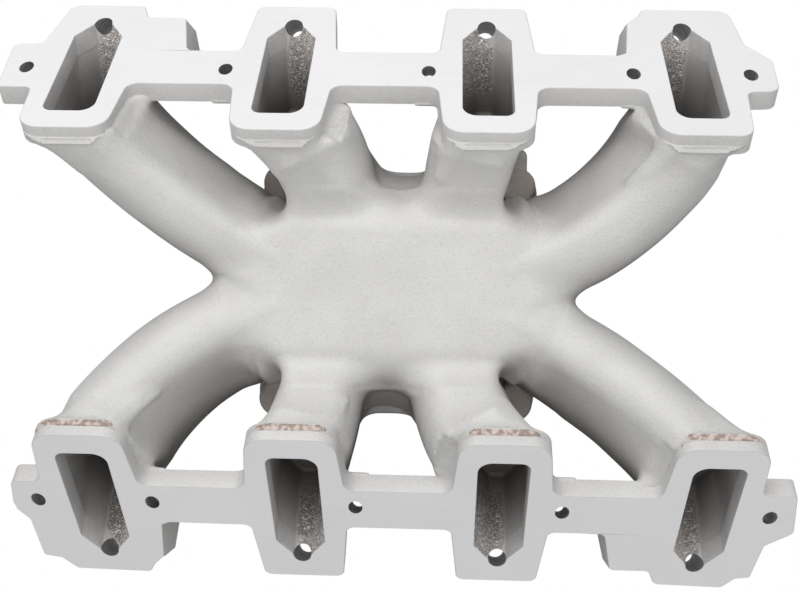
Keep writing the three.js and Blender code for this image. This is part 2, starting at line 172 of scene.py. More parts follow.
def flange_outline(letter):
    """The whole head flange of a bank, anticlockwise in (x, down) with down as the second axis."""
    ends = ENDS[letter]
    first, second, third, last = PORT_X
    shift = lambda x, rows: [(x + dx, down, r) for dx, down, r in rows]
    inner = shift(first, ends["first_in"]) + pad_foot(first)
    for left, right in zip(PORT_X, PORT_X[1:]):
        inner += [(left + 27.2, 26.3, 7), (right - 27.2, 26.3, 7)]
        inner += pad_foot(right, ends["last_foot"] if right == last else 12)
    inner += shift(last, ends["last_in"])
    outer = shift(last, ends["last_out"])
    outer += shift(last, [(-20.5, 109.5, 3), (-24, 102, 0), (-31, 93, 2), (-34.5, RAIL_OUT + 2, 1)])
    outer += shift(last, [(-39, RAIL_OUT - 0.5, 3)])
    for x in (third, second):
        outer += shift(x, [(27, RAIL_OUT, 5), (23, 109, 5), (-23, 109, 5), (-27, RAIL_OUT, 5)])
    outer += shift(first, [(54, RAIL_OUT, 5), (47.5, LUG_OUT, 4), (25, LUG_OUT, 4), (20.5, 108.5, 5)])
    outer += shift(first, ends["first_out"])
    return rounded(inner + outer)


def port_outline(x, grow=0.0, depth=0.0):
    """A port; its corners nearest the middle of the manifold are the rounder ones."""
    shoulder = PORT_SHOULDER - PORT_LEAN * depth
    crest = PORT_CREST - PORT_LEAN * depth
    towards_right = 8 if x < 0 else 5
    towards_left = 5 if x < 0 else 8
    half = PORT_HALF + grow
    return rounded([
        (x - half, -grow, towards_left),
        (x + half, -grow, towards_right),
        (x + half, shoulder, 2),
        (x + PORT_CREST_HALF + grow / 2, crest + grow, 0.8),
        (x - PORT_CREST_HALF - grow / 2, crest + grow, 0.8),
        (x - half, shoulder, 2),
    ])


def clip(outline, normal, offset):
    """Keeps the part of a closed outline where normal . p <= offset. Entries are (x, y, seam)."""
    kept = []
    count = len(outline)
    inside = [p[0] * normal[0] + p[1] * normal[1] <= offset for p in outline]
    for i, point in enumerate(outline):
        after = outline[(i + 1) % count]
        if inside[i]:
            kept.append(point)
        if inside[i] != inside[(i + 1) % count]:
            here = point[0] * normal[0] + point[1] * normal[1] - offset
            there = after[0] * normal[0] + after[1] * normal[1] - offset
            t = here / (here - there)
            x = point[0] + t * (after[0] - point[0])
            y = point[1] + t * (after[1] - point[1])
            kept.append((x, y, True if inside[i] else point[2]))
    return kept


# ---- fields (signed distances in mm)

STEP = 1.8                  # pitch of the grid
NX, NY = 124, 94            # cells each side of the middle
ZS = (np.arange(-3, 70) * STEP).astype(np.float32)
XS = (np.arange(-NX, NX + 1) * STEP).astype(np.float32)
YS = (np.arange(-NY, NY + 1) * STEP).astype(np.float32)
FAR = 30.0                  # the largest distance that a field holds


def fade(values, start, length):
    """0 up to start and 1 a length past it, which is before it when length is negative."""
    return np.clip((values - start) / length, 0, 1)


def union(a, b, k=0.0):
    """The lower of two fields, with a fillet of about k where they meet."""
    if np.ndim(k) == 0 and k == 0:
        return np.minimum(a, b)
    h = np.maximum(k - np.abs(a - b), 0) / k
    return np.minimum(a, b) - h * h * k / 4


def without(a, b, k=0.0):
    return -union(-a, b, k)


def steepest(field):
    parts = np.stack(np.gradient(field))
    return parts / np.maximum(np.sqrt((parts ** 2).sum(0)), 1e-6)


def fillet(a, b, k):
    """A union whose fillet fills only the corners, and leaves surfaces that run level alone."""
    corner = np.clip(1 - (steepest(a) * steepest(b)).sum(0), 0.04, 1) * k
    h = np.maximum(corner - np.abs(a - b), 0) / corner
    return np.minimum(a, b) - h * h * corner / 4


class Space:
    """A field over the whole grid."""

    def __init__(self):
        self.values = np.full((len(XS), len(YS), len(ZS)), FAR, np.float32)

    def add(self, low, high, field, k=0.0, reach=20.0, join=union):
        """Unites field(x, y, z) with the values inside a box, which is widened by reach."""
        cuts = []
        for axis, lo, hi in zip((XS, YS, ZS), low, high):
            start = int(np.searchsorted(axis, lo - reach))
            end = int(np.searchsorted(axis, hi + reach))
            cuts.append(slice(start, end))
        x = XS[cuts[0]][:, None, None]
        y = YS[cuts[1]][None, :, None]
        z = ZS[cuts[2]][None, None, :]
        part = self.values[tuple(cuts)]
        part[...] = join(part, np.broadcast_to(field(x, y, z), part.shape), k)

    def add_half_turn(self, k=0.0, join=union):
        self.values = join(self.values, self.values[::-1, ::-1, :].copy(), k)


def upright(cx, cy, radius, low, high, rim=1.5):
    """An upright cylinder with a rounded rim."""
    def field(x, y, z):
        return extruded(np.hypot(x - cx, y - cy) - radius, between(z, low, high), rim)
    return field


def polygon_distance(points, x, y):
    """Signed distance from (x, y) to a closed outline, negative inside."""
    best = np.full(np.broadcast(x, y).shape, np.inf, np.float32)
    inside = np.zeros(best.shape, bool)
    for (ax, ay), (bx, by) in zip(points, points[1:] + points[:1]):
        ex, ey = bx - ax, by - ay
        length = max(ex * ex + ey * ey, 1e-9)
        t = np.clip(((x - ax) * ex + (y - ay) * ey) / length, 0, 1)
        best = np.minimum(best, (x - ax - t * ex) ** 2 + (y - ay - t * ey) ** 2)
        crosses = (ay > y) != (by > y)
        if by != ay:
            inside ^= crosses & (x < ax + (y - ay) * ex / (by - ay))
    return np.sqrt(best) * np.where(inside, -1, 1)


def between(z, low, high):
    """Signed distance to the layer from low to high."""
    return np.abs(z - (low + high) / 2) - (high - low) / 2


def extruded(flat, up, rim):
    """Joins a flat distance and an up distance into one field with a rounded rim."""
    across, height = flat + rim, up + rim
    outside = np.hypot(np.maximum(across, 0), np.maximum(height, 0))
    return outside + np.minimum(np.maximum(across, height), 0) - rim


def plan_prism(points, low, high, rim=0.0, grow=0.0):
    def field(x, y, z):
        flat = polygon_distance(points, x, y) - grow
        return extruded(flat, between(z, low, high), rim)
    return field


class FaceMap:
    """Distance to an outline drawn on the head face, looked up on a fine sheet."""

    def __init__(self, points, pitch=1.0, margin=26.0):
        p = np.array(points)
        self.low = p.min(0) - margin
        self.pitch = pitch
        counts = np.ceil((p.max(0) + margin - self.low) / pitch).astype(int) + 2
        x = (self.low[0] + np.arange(counts[0]) * pitch)[:, None]
        y = (self.low[1] + np.arange(counts[1]) * pitch)[None, :]
        self.sheet = polygon_distance([tuple(q) for q in points], x, y)

    def __call__(self, x, down):
        x, down = np.broadcast_arrays(x, down)
        u = np.clip((x - self.low[0]) / self.pitch, 0, self.sheet.shape[0] - 1.001)
        v = np.clip((down - self.low[1]) / self.pitch, 0, self.sheet.shape[1] - 1.001)
        i, j = u.astype(int), v.astype(int)
        fu, fv = u - i, v - j
        s = self.sheet
        return ((s[i, j] * (1 - fu) + s[i + 1, j] * fu) * (1 - fv)
                + (s[i, j + 1] * (1 - fu) + s[i + 1, j + 1] * fu) * fv)


def face_coordinates(y, z):
    dy, dz = y - PORT_EDGE_Y, z - PORT_EDGE_Z
    return DOWN.y * dy + DOWN.z * dz, OUT.y * dy + OUT.z * dz


def face_prism(points, low, high, rim=0.0, grow=0.0):
    sheet = FaceMap(points)

    def field(x, y, z):
        down, above = face_coordinates(y, z)
        flat = sheet(x, down + 0 * x) - grow
        return extruded(flat, between(above, low, high), rim)
    return field


# ---- runners

PLENUM_TOP = 96.0
PLENUM_HALF_Y = 52.0
PLENUM_CORNER_X = 74.0
NOSE_X, NOSE_Y = 97.0, 5.5
RUNNER_AT = 39.5            # runner axis at the flange, down the face
RUNNER_Z = 61.0


def nose_side(side):
    """Middle and inward heading of the slanted plenum side, at the left (-1) or right (1)."""
    nose = Vector((side * NOSE_X, -side * NOSE_Y))
    corner = Vector((side * PLENUM_CORNER_X, PLENUM_HALF_Y))
    along = (corner - nose).normalized()
    inward = Vector((-along.y, along.x)) * side
    return (nose + corner) / 2, inward


SLANT = {side: nose_side(side) for side in (-1, 1)}
RUNNERS = [
    {"end": SLANT[-1][0] + Vector((1.3, 2.7)), "heading": SLANT[-1][1], "first_arm": 24, "last_arm": 52,
     "width": 57, "passage": 38},
    {"end": Vector((-39, 52)), "heading": Vector((0, -1)), "first_arm": 26, "last_arm": 26,
     "width": 57, "passage": 31},
    {"end": Vector((41, 52)), "heading": Vector((0, -1)), "first_arm": 26, "last_arm": 26,
     "width": 50, "passage": 31},
    {"end": SLANT[1][0] + Vector((-0.8, 1.9)), "heading": SLANT[1][1], "first_arm": 30, "last_arm": 55,
     "width": 61, "passage": 38},
]
# Sections, as (at the flange, at the plenum): full width, reach above and below the axis, squareness.
SKIN = {"width": (47, 54), "top": (54.7, 36), "foot": (50, 34), "power": (3.6, 2.6)}
PASSAGE = {"width": (27.4, 38), "top": (39, 28), "foot": (29, 28), "power": (4, 3.2)}
WIDE_AT = 0.35              # share of the axis after which a runner has its full width
OUTER_FALL = 0.35           # share of the axis after which a runner's top comes down
MIDDLE_FALL = 0.62
MIDDLE_SQUARE = 4.6         # squareness of a middle runner's top
MIDDLE_RISE = 1.0           # how much further a middle runner reaches up at the flange
MIDDLE_TOP = 42.5           # and at its plenum end, still on its way down
MIDDLE_SLOPE = 1.27
OUTER_LEVEL = 24            # how far an outer runner stays level inside the plenum
OUTER_SINK = 0.05           # and how quickly its top sinks after that
LEAST_REACH = 6
RIDGE = {"outer": 4.0, "middle": 18.0}      # where the sloping side starts, beside the axis
RIDGE_SLOPE = 1.7
RIDGE_FROM = 0.5            # share of the axis from which the side is cut back fully
NO_RIDGE = 40
WALL = 5.5

FILLETS = {"ridge": 8, "runners": 8, "banks": 16, "plenum": 18, "notch": 9, "web": 14, "boss": 3, "plate": 4,
           "ledge": 5, "foot": 1, "stud": 5, "ear": 2, "base": 9, "port": 8, "chamber": 9, "mouth": 5,
           "notch_wall": 4, "inner_edge": 1.2}


class Axis:
    """The cubic Bezier axis of a runner, run on straight past both ends."""

    def __init__(self, index, beyond, back=-PLATE + 1):
        runner = RUNNERS[index]
        start = on_face(PORT_X[index], RUNNER_AT, back)
        heading = Vector((*runner["heading"], 0)).normalized()
        end = Vector((*runner["end"], RUNNER_Z))
        p = [start, start - OUT * runner["first_arm"], end - heading * runner["last_arm"], end]
        self.points = np.array([list(q) for q in p])
        self.t = np.linspace(-0.14, beyond, 90)
        self.centres = self.at(self.t)

    def at(self, t):
        inner = np.clip(t, 0, 1)[..., None]
        p = self.points
        curve = ((1 - inner) ** 3 * p[0] + 3 * (1 - inner) ** 2 * inner * p[1]
                 + 3 * (1 - inner) * inner ** 2 * p[2] + inner ** 3 * p[3])
        return curve + self.slope(inner[..., 0]) * (t[..., None] - inner)

    def slope(self, t):
        t = np.clip(t, 0, 1)[..., None]
        p = self.points
        return (3 * (1 - t) ** 2 * (p[1] - p[0]) + 6 * (1 - t) * t * (p[2] - p[1])
                + 3 * t ** 2 * (p[3] - p[2]))

    def bounds(self, margin):
        return self.centres.min(0) - margin, self.centres.max(0) + margin


def swept(index, beyond, section, wall=0.0):
    """A runner, or its passage when wall is given: a section swept along the axis.

    One top edge, at the side of the neighbouring gap, is cut back to a sloping side.
    """
    axis = Axis(index, beyond)
    middle = index in (1, 2)
    gap = 1 if index < 2 else -1
    start_fall = MIDDLE_FALL if middle else OUTER_FALL
    ridge = RIDGE["middle" if middle else "outer"]

    def field(x, y, z):
        shape = np.broadcast(x, y, z).shape
        p = np.stack([np.broadcast_to(c, shape).ravel() for c in (x, y, z)], 1).astype(np.float32)
        centres = axis.centres.astype(np.float32)
        near = ((centres ** 2).sum(1)[None, :] - 2 * p @ centres.T).argmin(1)
        t = axis.t[near]
        slope = axis.slope(t)
        offset = p - axis.at(t)
        t = np.clip(t + (offset * slope).sum(1) / (slope ** 2).sum(1), axis.t[0], axis.t[-1])
        centre, slope = axis.at(t), axis.slope(t)
        along = slope / np.linalg.norm(slope, axis=1, keepdims=True)
        across = np.stack([-along[:, 1], along[:, 0], np.zeros(len(along))], 1)
        across /= np.linalg.norm(across, axis=1, keepdims=True)
        over = np.cross(along, across)
        offset = p - centre
        part = np.clip(t, 0, 1)
        past = np.maximum(t - 1, 0) * np.linalg.norm(axis.slope(np.ones(1)))
        mix = lambda key, share: section[key][0] + (section[key][1] - section[key][0]) * share
        fall = fade(part, start_fall, 1 - start_fall)
        skin_end = MIDDLE_TOP if middle else SKIN["top"][1]
        skin_start = SKIN["top"][0] + (MIDDLE_RISE if middle else 0)
        skin_top = skin_start + (skin_end - skin_start) * fall
        skin_top -= MIDDLE_SLOPE * past if middle else OUTER_SINK * np.maximum(past - OUTER_LEVEL, 0) ** 2
        top = mix("top", part) if wall else skin_top
        u = (offset * across).sum(1) * gap
        v = (offset * over).sum(1)
        reach = np.maximum(np.where(v > 0, top, mix("foot", part)), LEAST_REACH)
        half = mix("width", part if wall else np.clip(part / WIDE_AT, 0, 1)) / 2
        n = mix("power", part)
        if middle and not wall:
            n = np.where(v > 0, MIDDLE_SQUARE, n)
        a, b = np.abs(u) / half, np.abs(v) / reach
        g = np.maximum((a ** n + b ** n) ** (1 / n), 1e-3)
        pull = np.hypot((a / g) ** (n - 1) / half, (b / g) ** (n - 1) / reach)
        sideways = (g - 1) / np.maximum(pull, 1e-3)
        lean = (v - skin_top + 2 + RIDGE_SLOPE * (u - ridge)) / math.hypot(1, RIDGE_SLOPE) + wall
        uncut = NO_RIDGE * np.clip(1 - part / RIDGE_FROM, 0, 1) ** 2
        sideways = without(sideways, uncut - lean, FILLETS["ridge"])
        lengthways = np.abs((offset * along).sum(1))
        distance = np.where(lengthways > STEP, np.maximum(sideways, lengthways), sideways)
        return np.clip(distance, -FAR, FAR).reshape(shape).astype(np.float32)
    return axis, field


# ---- the casting as one field


def plenum_plan(inset=0.0):
    half = [
        (NOSE_X - inset, -NOSE_Y),
        (PLENUM_CORNER_X - 0.6 * inset, PLENUM_HALF_Y - inset),
        (-PLENUM_CORNER_X + 0.6 * inset, PLENUM_HALF_Y - inset),
    ]
    return half + [(-x, -y) for x, y in half]


def rectangle(half_x, half_y, radius):
    return rounded([(-half_x, -half_y, radius), (half_x, -half_y, radius),
                    (half_x, half_y, radius), (-half_x, half_y, radius)])


# The web that rounds off the crotch between the two middle runners, in plan.
WEB = [(-38, 46), (-28, 98), (-24.5, 98), (-17, 82.5), (-10, 72.5), (-4, 68.5), (2, 67.3), (9, 67.3),
       (15, 69), (20, 75.5), (23, 86), (25.5, 98), (29, 98), (40, 46)]


# The narrow gaps between an outer and a middle runner, which end at the plenum wall.
NOTCHES = [
    [(-59, 48), (-66, 58), (-78, 76), (-90, 72), (-73, 60), (-62, 48)],
    [(60, 50), (69, 59), (84, 66), (92, 74), (76, 78), (66, 62)],
]


def ledge_outline(x):
    """The milled ledge at the foot of a pad, in face coordinates."""
    return rounded([(x - 21, -8, 0), (x - 19.5, -13.6, 2), (x - 13.5, LEDGE_EDGE, 5),
                    (x + 13.5, LEDGE_EDGE, 5), (x + 19.5, -13.6, 2), (x + 21, -8, 0)])


LEDGE_LEANS = (0.8, 0.55, -0.45, -0.8)      # along x, per mm of depth
LEDGE_TAPER = 0.12
LEDGE_BLOCK = (-32.8, -5.2)                 # heights of the shoulder that carries the ledge


def ledge_block(x, lean):
    """The thick shoulder under a ledge, which follows the runner away from the pad."""
    sheet = FaceMap(ledge_outline(x))

    def field(x, y, z):
        down, above = face_coordinates(y, z)
        depth = np.maximum(-LEDGE_DEPTH - above, 0)
        flat = sheet(x - lean * depth, down + 0 * x) + LEDGE_TAPER * depth
        return extruded(flat, between(above, *LEDGE_BLOCK), 1)
    return field


FLANGE_SHEET = FaceMap(flange_outline("a"))
# Beside the flange the skin falls at this slope over a width, and is free again further out. At the foot
# of a pad, which has the ledge, both start further from the outline.
SHOULDER = {"slope": 1.3, "start": 0.5, "width": 4.5, "free": 9, "scale": 1.4}
AT_FOOT = {"slope": -0.3, "start": 12, "free": 6}
RELEASE = 3


def under_flange(x, y, z):
    """Keeps the casting's skin below the sides of the head flange."""
    down, above = face_coordinates(y, z)
    flat = FLANGE_SHEET(x, down + 0 * x)
    foot = fade(down, -7, -5)
    slope = SHOULDER["slope"] + AT_FOOT["slope"] * foot
    fall = np.clip(flat - SHOULDER["start"] - AT_FOOT["start"] * foot, 0, SHOULDER["width"])
    limit = -SHOULDER_TOP - slope * fall
    limit = limit + RELEASE * np.maximum(flat - SHOULDER["free"] - AT_FOOT["free"] * foot, 0)
    return (above - limit) / SHOULDER["scale"]


WEB_HEIGHTS = (6, 96)
WEB_LEAN, WEB_LEANS_FROM = 0.44, 45
NOTCH_FLARE, NOTCH_FLARES_FROM = 0.42, 68
NOTCH_FLOOR = 16


def web_field(x, y, z):
    """The web between the two middle runners, whose wall leans back above its foot."""
    flat = polygon_distance(WEB, x, y) + WEB_LEAN * np.maximum(z - WEB_LEANS_FROM, 0)
    return extruded(flat, between(z, *WEB_HEIGHTS), 4)


def notches():
    """The gaps in NOTCHES, upright low down, and opening towards the outer runners above that."""
    space = Space()
    for outline in NOTCHES:
        low, high = np.min(outline, 0), np.max(outline, 0)

        def field(x, y, z, outline=outline):
            grow = NOTCH_FLARE * np.maximum(z - NOTCH_FLARES_FROM, 0)
            flat = polygon_distance(outline, x - np.sign(outline[0][0]) * grow, y) - grow
            return np.maximum(flat, NOTCH_FLOOR - z)
        space.add((*low, 10), (*high, 120), field, reach=24)
    space.add_half_turn()
    return space.values


NOTCH = notches()


def bosses_and_plate():
    """The round bosses under the flange, and the casting's layer just below its face, for both banks."""
    details = Space()
    for across, centre_y, radius, seat_z, at, bury, xs in (
        (12, INJECTOR_Y, INJECTOR_BOSS_R, INJECTOR_SEAT_Z, INJECTOR_AT, 6, PORT_X),
        (12, BOLT_Y, BOLT_BOSS_R, BOLT_SEAT_Z, BOLT_AT, 7, BOLT_X),
    ):
        top = on_face(0, at, -bury).z
        for x in xs:
            low = (x - across, centre_y - across, seat_z - 4)
            high = (x + across, centre_y + across, 100)
            details.add(low, high, upright(x, centre_y, radius, seat_z + 4, top), k=FILLETS["boss"])
    plate = face_prism(flange_outline("a"), -PLATE + 0.2, -1, 1, -0.5)
    details.add((-224, 70, 30), (224, 172, 132), plate, k=FILLETS["plate"], reach=0)
    details.add_half_turn()
    return details.values


def ledge_fields():
    """The shoulders under the ledges, and the pads' thicker feet beside the three bolts between them."""
    ledges, feet = Space(), Space()
    for x, lean in zip(PORT_X, LEDGE_LEANS):
        ledges.add((x - 40, 50, 86), (x + 40, 90, 132), ledge_block(x, lean), reach=4)
    for x in BOLT_X[1:4]:
        foot = [(x - 7, 25.6), (x + 9, 25.6), (x + 9, 58), (x - 7, 58)]
        feet.add((x - 12, 85, 60), (x + 14, 145, 110), face_prism(foot, -13, -10.5, 0.5), reach=0)
    ledges.add_half_turn()
    feet.add_half_turn()
    return ledges.values, feet.values


def carburettor_base():
    base = Space()
    half_x, half_y = CARB_HALF
    plate = plan_prism(rectangle(half_x, half_y, 16), BELOW, CARB_THICK, 1.6)
    base.add((-half_x, -half_y, 0), (half_x, half_y, CARB_THICK), plate)
    for x, y in STUDS:
        boss = upright(x, y, STUD_BOSS_R, BELOW, STUD_BOSS_TOP, 3)
        base.add((x - 14, y - 14, 0), (x + 14, y + 14, STUD_BOSS_TOP), boss, k=FILLETS["stud"])
    ear = rounded([(46, 60, 0), (78, 60, 0), (78, 90, 5), (46, 90, 5)])
    base.add((46, 60, 0), (78, 90, 10), plan_prism(ear, BELOW, 10, 1.2), k=FILLETS["ear"])
    return base.values


def outer_field():
    """The outside of the whole casting."""
    runners = Space()
    for index, runner in enumerate(RUNNERS):
        section = dict(SKIN, width=(SKIN["width"][0], runner["width"]))
        axis, skin = swept(index, 1 + 44 / (3 * runner["last_arm"]), section)
        low, high = axis.bounds(66)
        runners.add(low, high, skin, k=FILLETS["runners"], reach=0, join=fillet)
    runners.add_half_turn(k=FILLETS["banks"], join=fillet)

    body = Space()
    body.add((-100, -56, 0), (100, 56, 100), plan_prism(plenum_plan(), -30, PLENUM_TOP, 22), reach=30)
    body.values = fillet(body.values, runners.values, FILLETS["plenum"])
    body.values = without(body.values, NOTCH, FILLETS["notch"])
    web = Space()
    web.add((-40, 45, 6), (40, 105, 96), web_field)
    web.add_half_turn()
    body.values = fillet(body.values, web.values, FILLETS["web"])

    x, y, z = XS[:, None, None], YS[None, :, None], ZS[None, None, :]
    down, _ = face_coordinates(np.abs(y), z)
    body.values = union(body.values, bosses_and_plate(), 2.5 + 6 * fade(down, -6, 20))
    half = len(YS) // 2
    lid = -under_flange(x, y[:, half:], z)
    soft = (1.2 + 3.8 * fade(down, -9, 12))[:, half:, :]
    bank_a, bank_b = body.values[:, half:, :], body.values[:, :half + 1, :]
    bank_a[...] = without(bank_a, lid, soft)
    bank_b[...] = without(bank_b, lid[::-1, ::-1, :], soft[:, ::-1, :])
    ledges, feet = ledge_fields()
    body.values = union(body.values, ledges, FILLETS["ledge"])
    body.values = union(body.values, feet, FILLETS["foot"])
    body.values = union(body.values, carburettor_base(), FILLETS["base"])
    return body


def port_hollow(port):
    """The start of a passage, which keeps the port's outline while its end wall leans in."""
    sheet = FaceMap(port_outline(port, 0.15))

    def field(x, y, z):
        down, above = face_coordinates(y, z)
        lean = -PORT_LEAN * np.minimum(above, 0) * fade(down, 5, 45)
        flat = sheet(x, down + lean + 0 * x)
        return extruded(flat, between(above, -50, 8), 0)
    return field


def inner_field():
    """The hollow inside: ports, passages, plenum chamber and the mouth in the carburettor flange."""
    hollow = Space()
    for index, (x, runner) in enumerate(zip(PORT_X, RUNNERS)):
        section = dict(PASSAGE, width=(PASSAGE["width"][0], runner["passage"]))
        axis, passage = swept(index, 1.2, section, WALL)
        low, high = axis.bounds(62)
        hollow.add(low, high, passage, reach=0)
        hollow.add((x - 16, 70, 30), (x + 16, 165, 130), port_hollow(x), k=FILLETS["port"])
    hollow.add_half_turn()
    chamber = plan_prism(plenum_plan(11), CARB_THICK - 6, PLENUM_TOP - 7, 8)
    hollow.add((-92, -50, 0), (92, 50, 92), chamber, k=FILLETS["chamber"])
    hollow.values = without(hollow.values, NOTCH - 4, FILLETS["notch_wall"])
    half_x, half_y = MOUTH_HALF
    mouth = plan_prism(rectangle(half_x, half_y, 23), -12, 30)
    hollow.add((-half_x, -half_y, -4), (half_x, half_y, 14), mouth, k=FILLETS["mouth"])
    return hollow


def waviness(values):
    """The slight unevenness of a sand mould, a quarter of a millimetre at most."""
    x, y, z = XS[:, None, None], YS[None, :, None], ZS[None, None, :]
    wave = (np.sin(x / 7.1 + 1.3 * np.sin(y / 9.7) + z / 11)
            + np.sin(y / 6.3 + 1.1 * np.sin(z / 8.1 + x / 12) + 2)
            + np.sin(z / 5.7 + 1.2 * np.sin(x / 8.9) + y / 13 + 4))
    return values + 0.09 * wave.astype(np.float32)


OUTER = outer_field()
INNER = inner_field()
OUTER.values = waviness(OUTER.values)
CASTING = without(OUTER.values, INNER.values, FILLETS["inner_edge"])


def sample(values, points):
    """Trilinear look-up of a grid at points in mm."""
    index = [(points[:, k] - axis[0]) / STEP for k, axis in enumerate((XS, YS, ZS))]
    index = [np.clip(v, 0, n - 1.001) for v, n in zip(index, values.shape)]
    i, j, k = (v.astype(int) for v in index)
    u, v, w = (a - b for a, b in zip(index, (i, j, k)))
    total = 0
    for di in (0, 1):
        for dj in (0, 1):
            for dk in (0, 1):
                share = (u if di else 1 - u) * (v if dj else 1 - v) * (w if dk else 1 - w)
                total = total + share * values[i + di, j + dj, k + dk]
    return total


def gradient(values, points, reach=1.2):
    columns = []
    for k in range(3):
        shift = np.zeros(3)
        shift[k] = reach
        columns.append(sample(values, points + shift) - sample(values, points - shift))
    normal = np.stack(columns, 1)
    return normal / np.maximum(np.linalg.norm(normal, axis=1, keepdims=True), 1e-9)


# ---- materials


class Nodes:
    """Short names for building a node tree."""

    def __init__(self, name):
        self.material = bpy.data.materials.new(name)
        self.material.use_nodes = True
        self.tree = self.material.node_tree
        self.shader = self.tree.nodes["Principled BSDF"]
        self.where = self.add("TexCoord", {}).outputs["Object"]

    def add(self, kind, inputs, **settings):
        """A new node; each input is a socket to link, a number, or a colour or vector."""
        node = self.tree.nodes.new("ShaderNode" + kind)
        for key, value in settings.items():
            setattr(node, key, value)
        for key, value in inputs.items():
            self.feed(node.inputs[key], value)
        return node

    def feed(self, socket, value):
        if isinstance(value, bpy.types.NodeSocket):
            self.tree.links.new(value, socket)
        elif isinstance(value, tuple):
            socket.default_value = (*value, 1)[:len(socket.default_value)]
        else:
            socket.default_value = value

    def noise(self, scale, detail=3.0, roughness=0.6, stretch=None, distortion=0.0):
        where = self.where
        if stretch:
            where = self.add("Mapping", {"Scale": stretch, "Vector": where}).outputs["Vector"]
        inputs = {"Scale": scale, "Detail": detail, "Roughness": roughness, "Distortion": distortion}
        return self.add("TexNoise", {**inputs, "Vector": where}).outputs["Fac"]

    def ramp(self, source, stops):
        """Colours by the source's value; a stop's colour may be one number for a grey."""
        node = self.add("ValToRGB", {"Fac": source})
        ramp = node.color_ramp
        while len(ramp.elements) < len(stops):
            ramp.elements.new(0.5)
        for element, (position, colour) in zip(ramp.elements, stops):
            element.position = position
            element.color = (*colour, 1) if isinstance(colour, tuple) else (colour, colour, colour, 1)
        return node.outputs["Color"]

    def mix(self, factor, a, b, blend="MIX"):
        return self.add("Mix", {0: factor, 6: a, 7: b}, data_type="RGBA", blend_type=blend).outputs[2]

    def maths(self, operation, a, b=0.0, clamp=False):
        return self.add("Math", {0: a, 1: b}, operation=operation, use_clamp=clamp).outputs[0]

    def spread(self, source, low, high):
        return self.add("MapRange", {"Value": source, "To Min": low, "To Max": high}).outputs["Result"]

    def attribute(self, name):
        return self.add("Attribute", {}, attribute_name=name).outputs["Fac"]

    def bump(self, height, distance, strength=1.0, under=None):
        inputs = {"Height": height, "Distance": distance, "Strength": strength}
        return self.add("Bump", {**inputs, "Normal": under} if under else inputs).outputs["Normal"]

    def finish(self, colour, roughness, normal, metallic):
        inputs = {"Metallic": metallic, "Base Color": colour, "Roughness": roughness, "Normal": normal}
        for key, value in inputs.items():
            self.feed(self.shader.inputs[key], value)
        return self.material


def cast_skin(name, light, dark, grain=1.0):
    """Sand-cast aluminium: fine grains a millimetre across, slow drifts of tone, painted shade mixed in by a
    point attribute, and a brown painted-shade strip beside the ledges of bank b.
    """
    n = Nodes(name)
    grains = n.noise(1150, 3, 0.65)
    clouds = n.noise(28, 4, 0.6)
    pits = n.noise(420, 2, 0.5)
    tone = n.ramp(clouds, [(0.3, dark), (0.7, light)])
    speck = n.ramp(grains, [(0.32, 0.8), (0.5, 1), (0.68, 1)])
    colour = n.mix(min(0.75 * grain, 1), tone, speck, "MULTIPLY")
    # Painted shade: the colour is darkened towards 0.42 of itself where the point attribute marks the skin as
    # lying in shade, low down and on walls that face down or away from the key lamp.
    painted_shade_tone = n.mix(1.0, colour, (0.42, 0.40, 0.38), "MULTIPLY")
    colour = n.mix(n.attribute("deep"), colour, painted_shade_tone)
    # Painted shade: on bank b a brown pitted strip is laid beside the ledge at the foot of each pad.
    shade_strip_tone = n.ramp(pits, [(0.42, (0.36, 0.29, 0.255)), (0.6, (0.66, 0.56, 0.51))])
    edge = n.maths("ADD", n.attribute("scar"), n.maths("MULTIPLY", clouds, 0.5))
    edge = n.ramp(edge, [(0.95, 0), (1.0, 1)])
    colour = n.mix(edge, colour, shade_strip_tone)
    roughness = n.spread(grains, 0.5, 0.78)
    coarse = n.bump(pits, 0.00030 * grain, 0.5)
    normal = n.bump(grains, 0.00022 * grain, 0.9, coarse)
    return n.finish(colour, roughness, normal, 0.3)


def machined_face(name, light, dark):
    """A milled face: near white, with faint marks along x."""
    n = Nodes(name)
    marks = n.noise(60, 3, 0.6, stretch=(0.6, 30, 30))
    clouds = n.noise(14, 3, 0.5)
    fine = n.noise(900, 2, 0.5)
    tone = n.ramp(clouds, [(0.3, dark), (0.7, light)])
    stripes = n.ramp(marks, [(0.35, 0.965), (0.65, 1)])
    colour = n.mix(1.0, tone, stripes, "MULTIPLY")
    roughness = n.spread(marks, 0.36, 0.52)
    under = n.bump(fine, 0.00003, 0.5)
    normal = n.bump(marks, 0.00004, 0.5, under)
    return n.finish(colour, roughness, normal, 0.15)


def milled_edge(name, light, dark):
    """A side-milled wall: fine lines that run around the pad."""
    n = Nodes(name)
    lines = n.noise(520, 2, 0.6, stretch=(0.05, 1, 1))
    grains = n.noise(1000, 2, 0.6)
    tone = n.ramp(lines, [(0.35, dark), (0.62, light)])
    speck = n.ramp(grains, [(0.3, 0.9), (0.6, 1)])
    colour = n.mix(0.6, tone, speck, "MULTIPLY")
    roughness = n.spread(lines, 0.42, 0.6)
    normal = n.bump(lines, 0.00008, 0.8)
    return n.finish(colour, roughness, normal, 0.55)


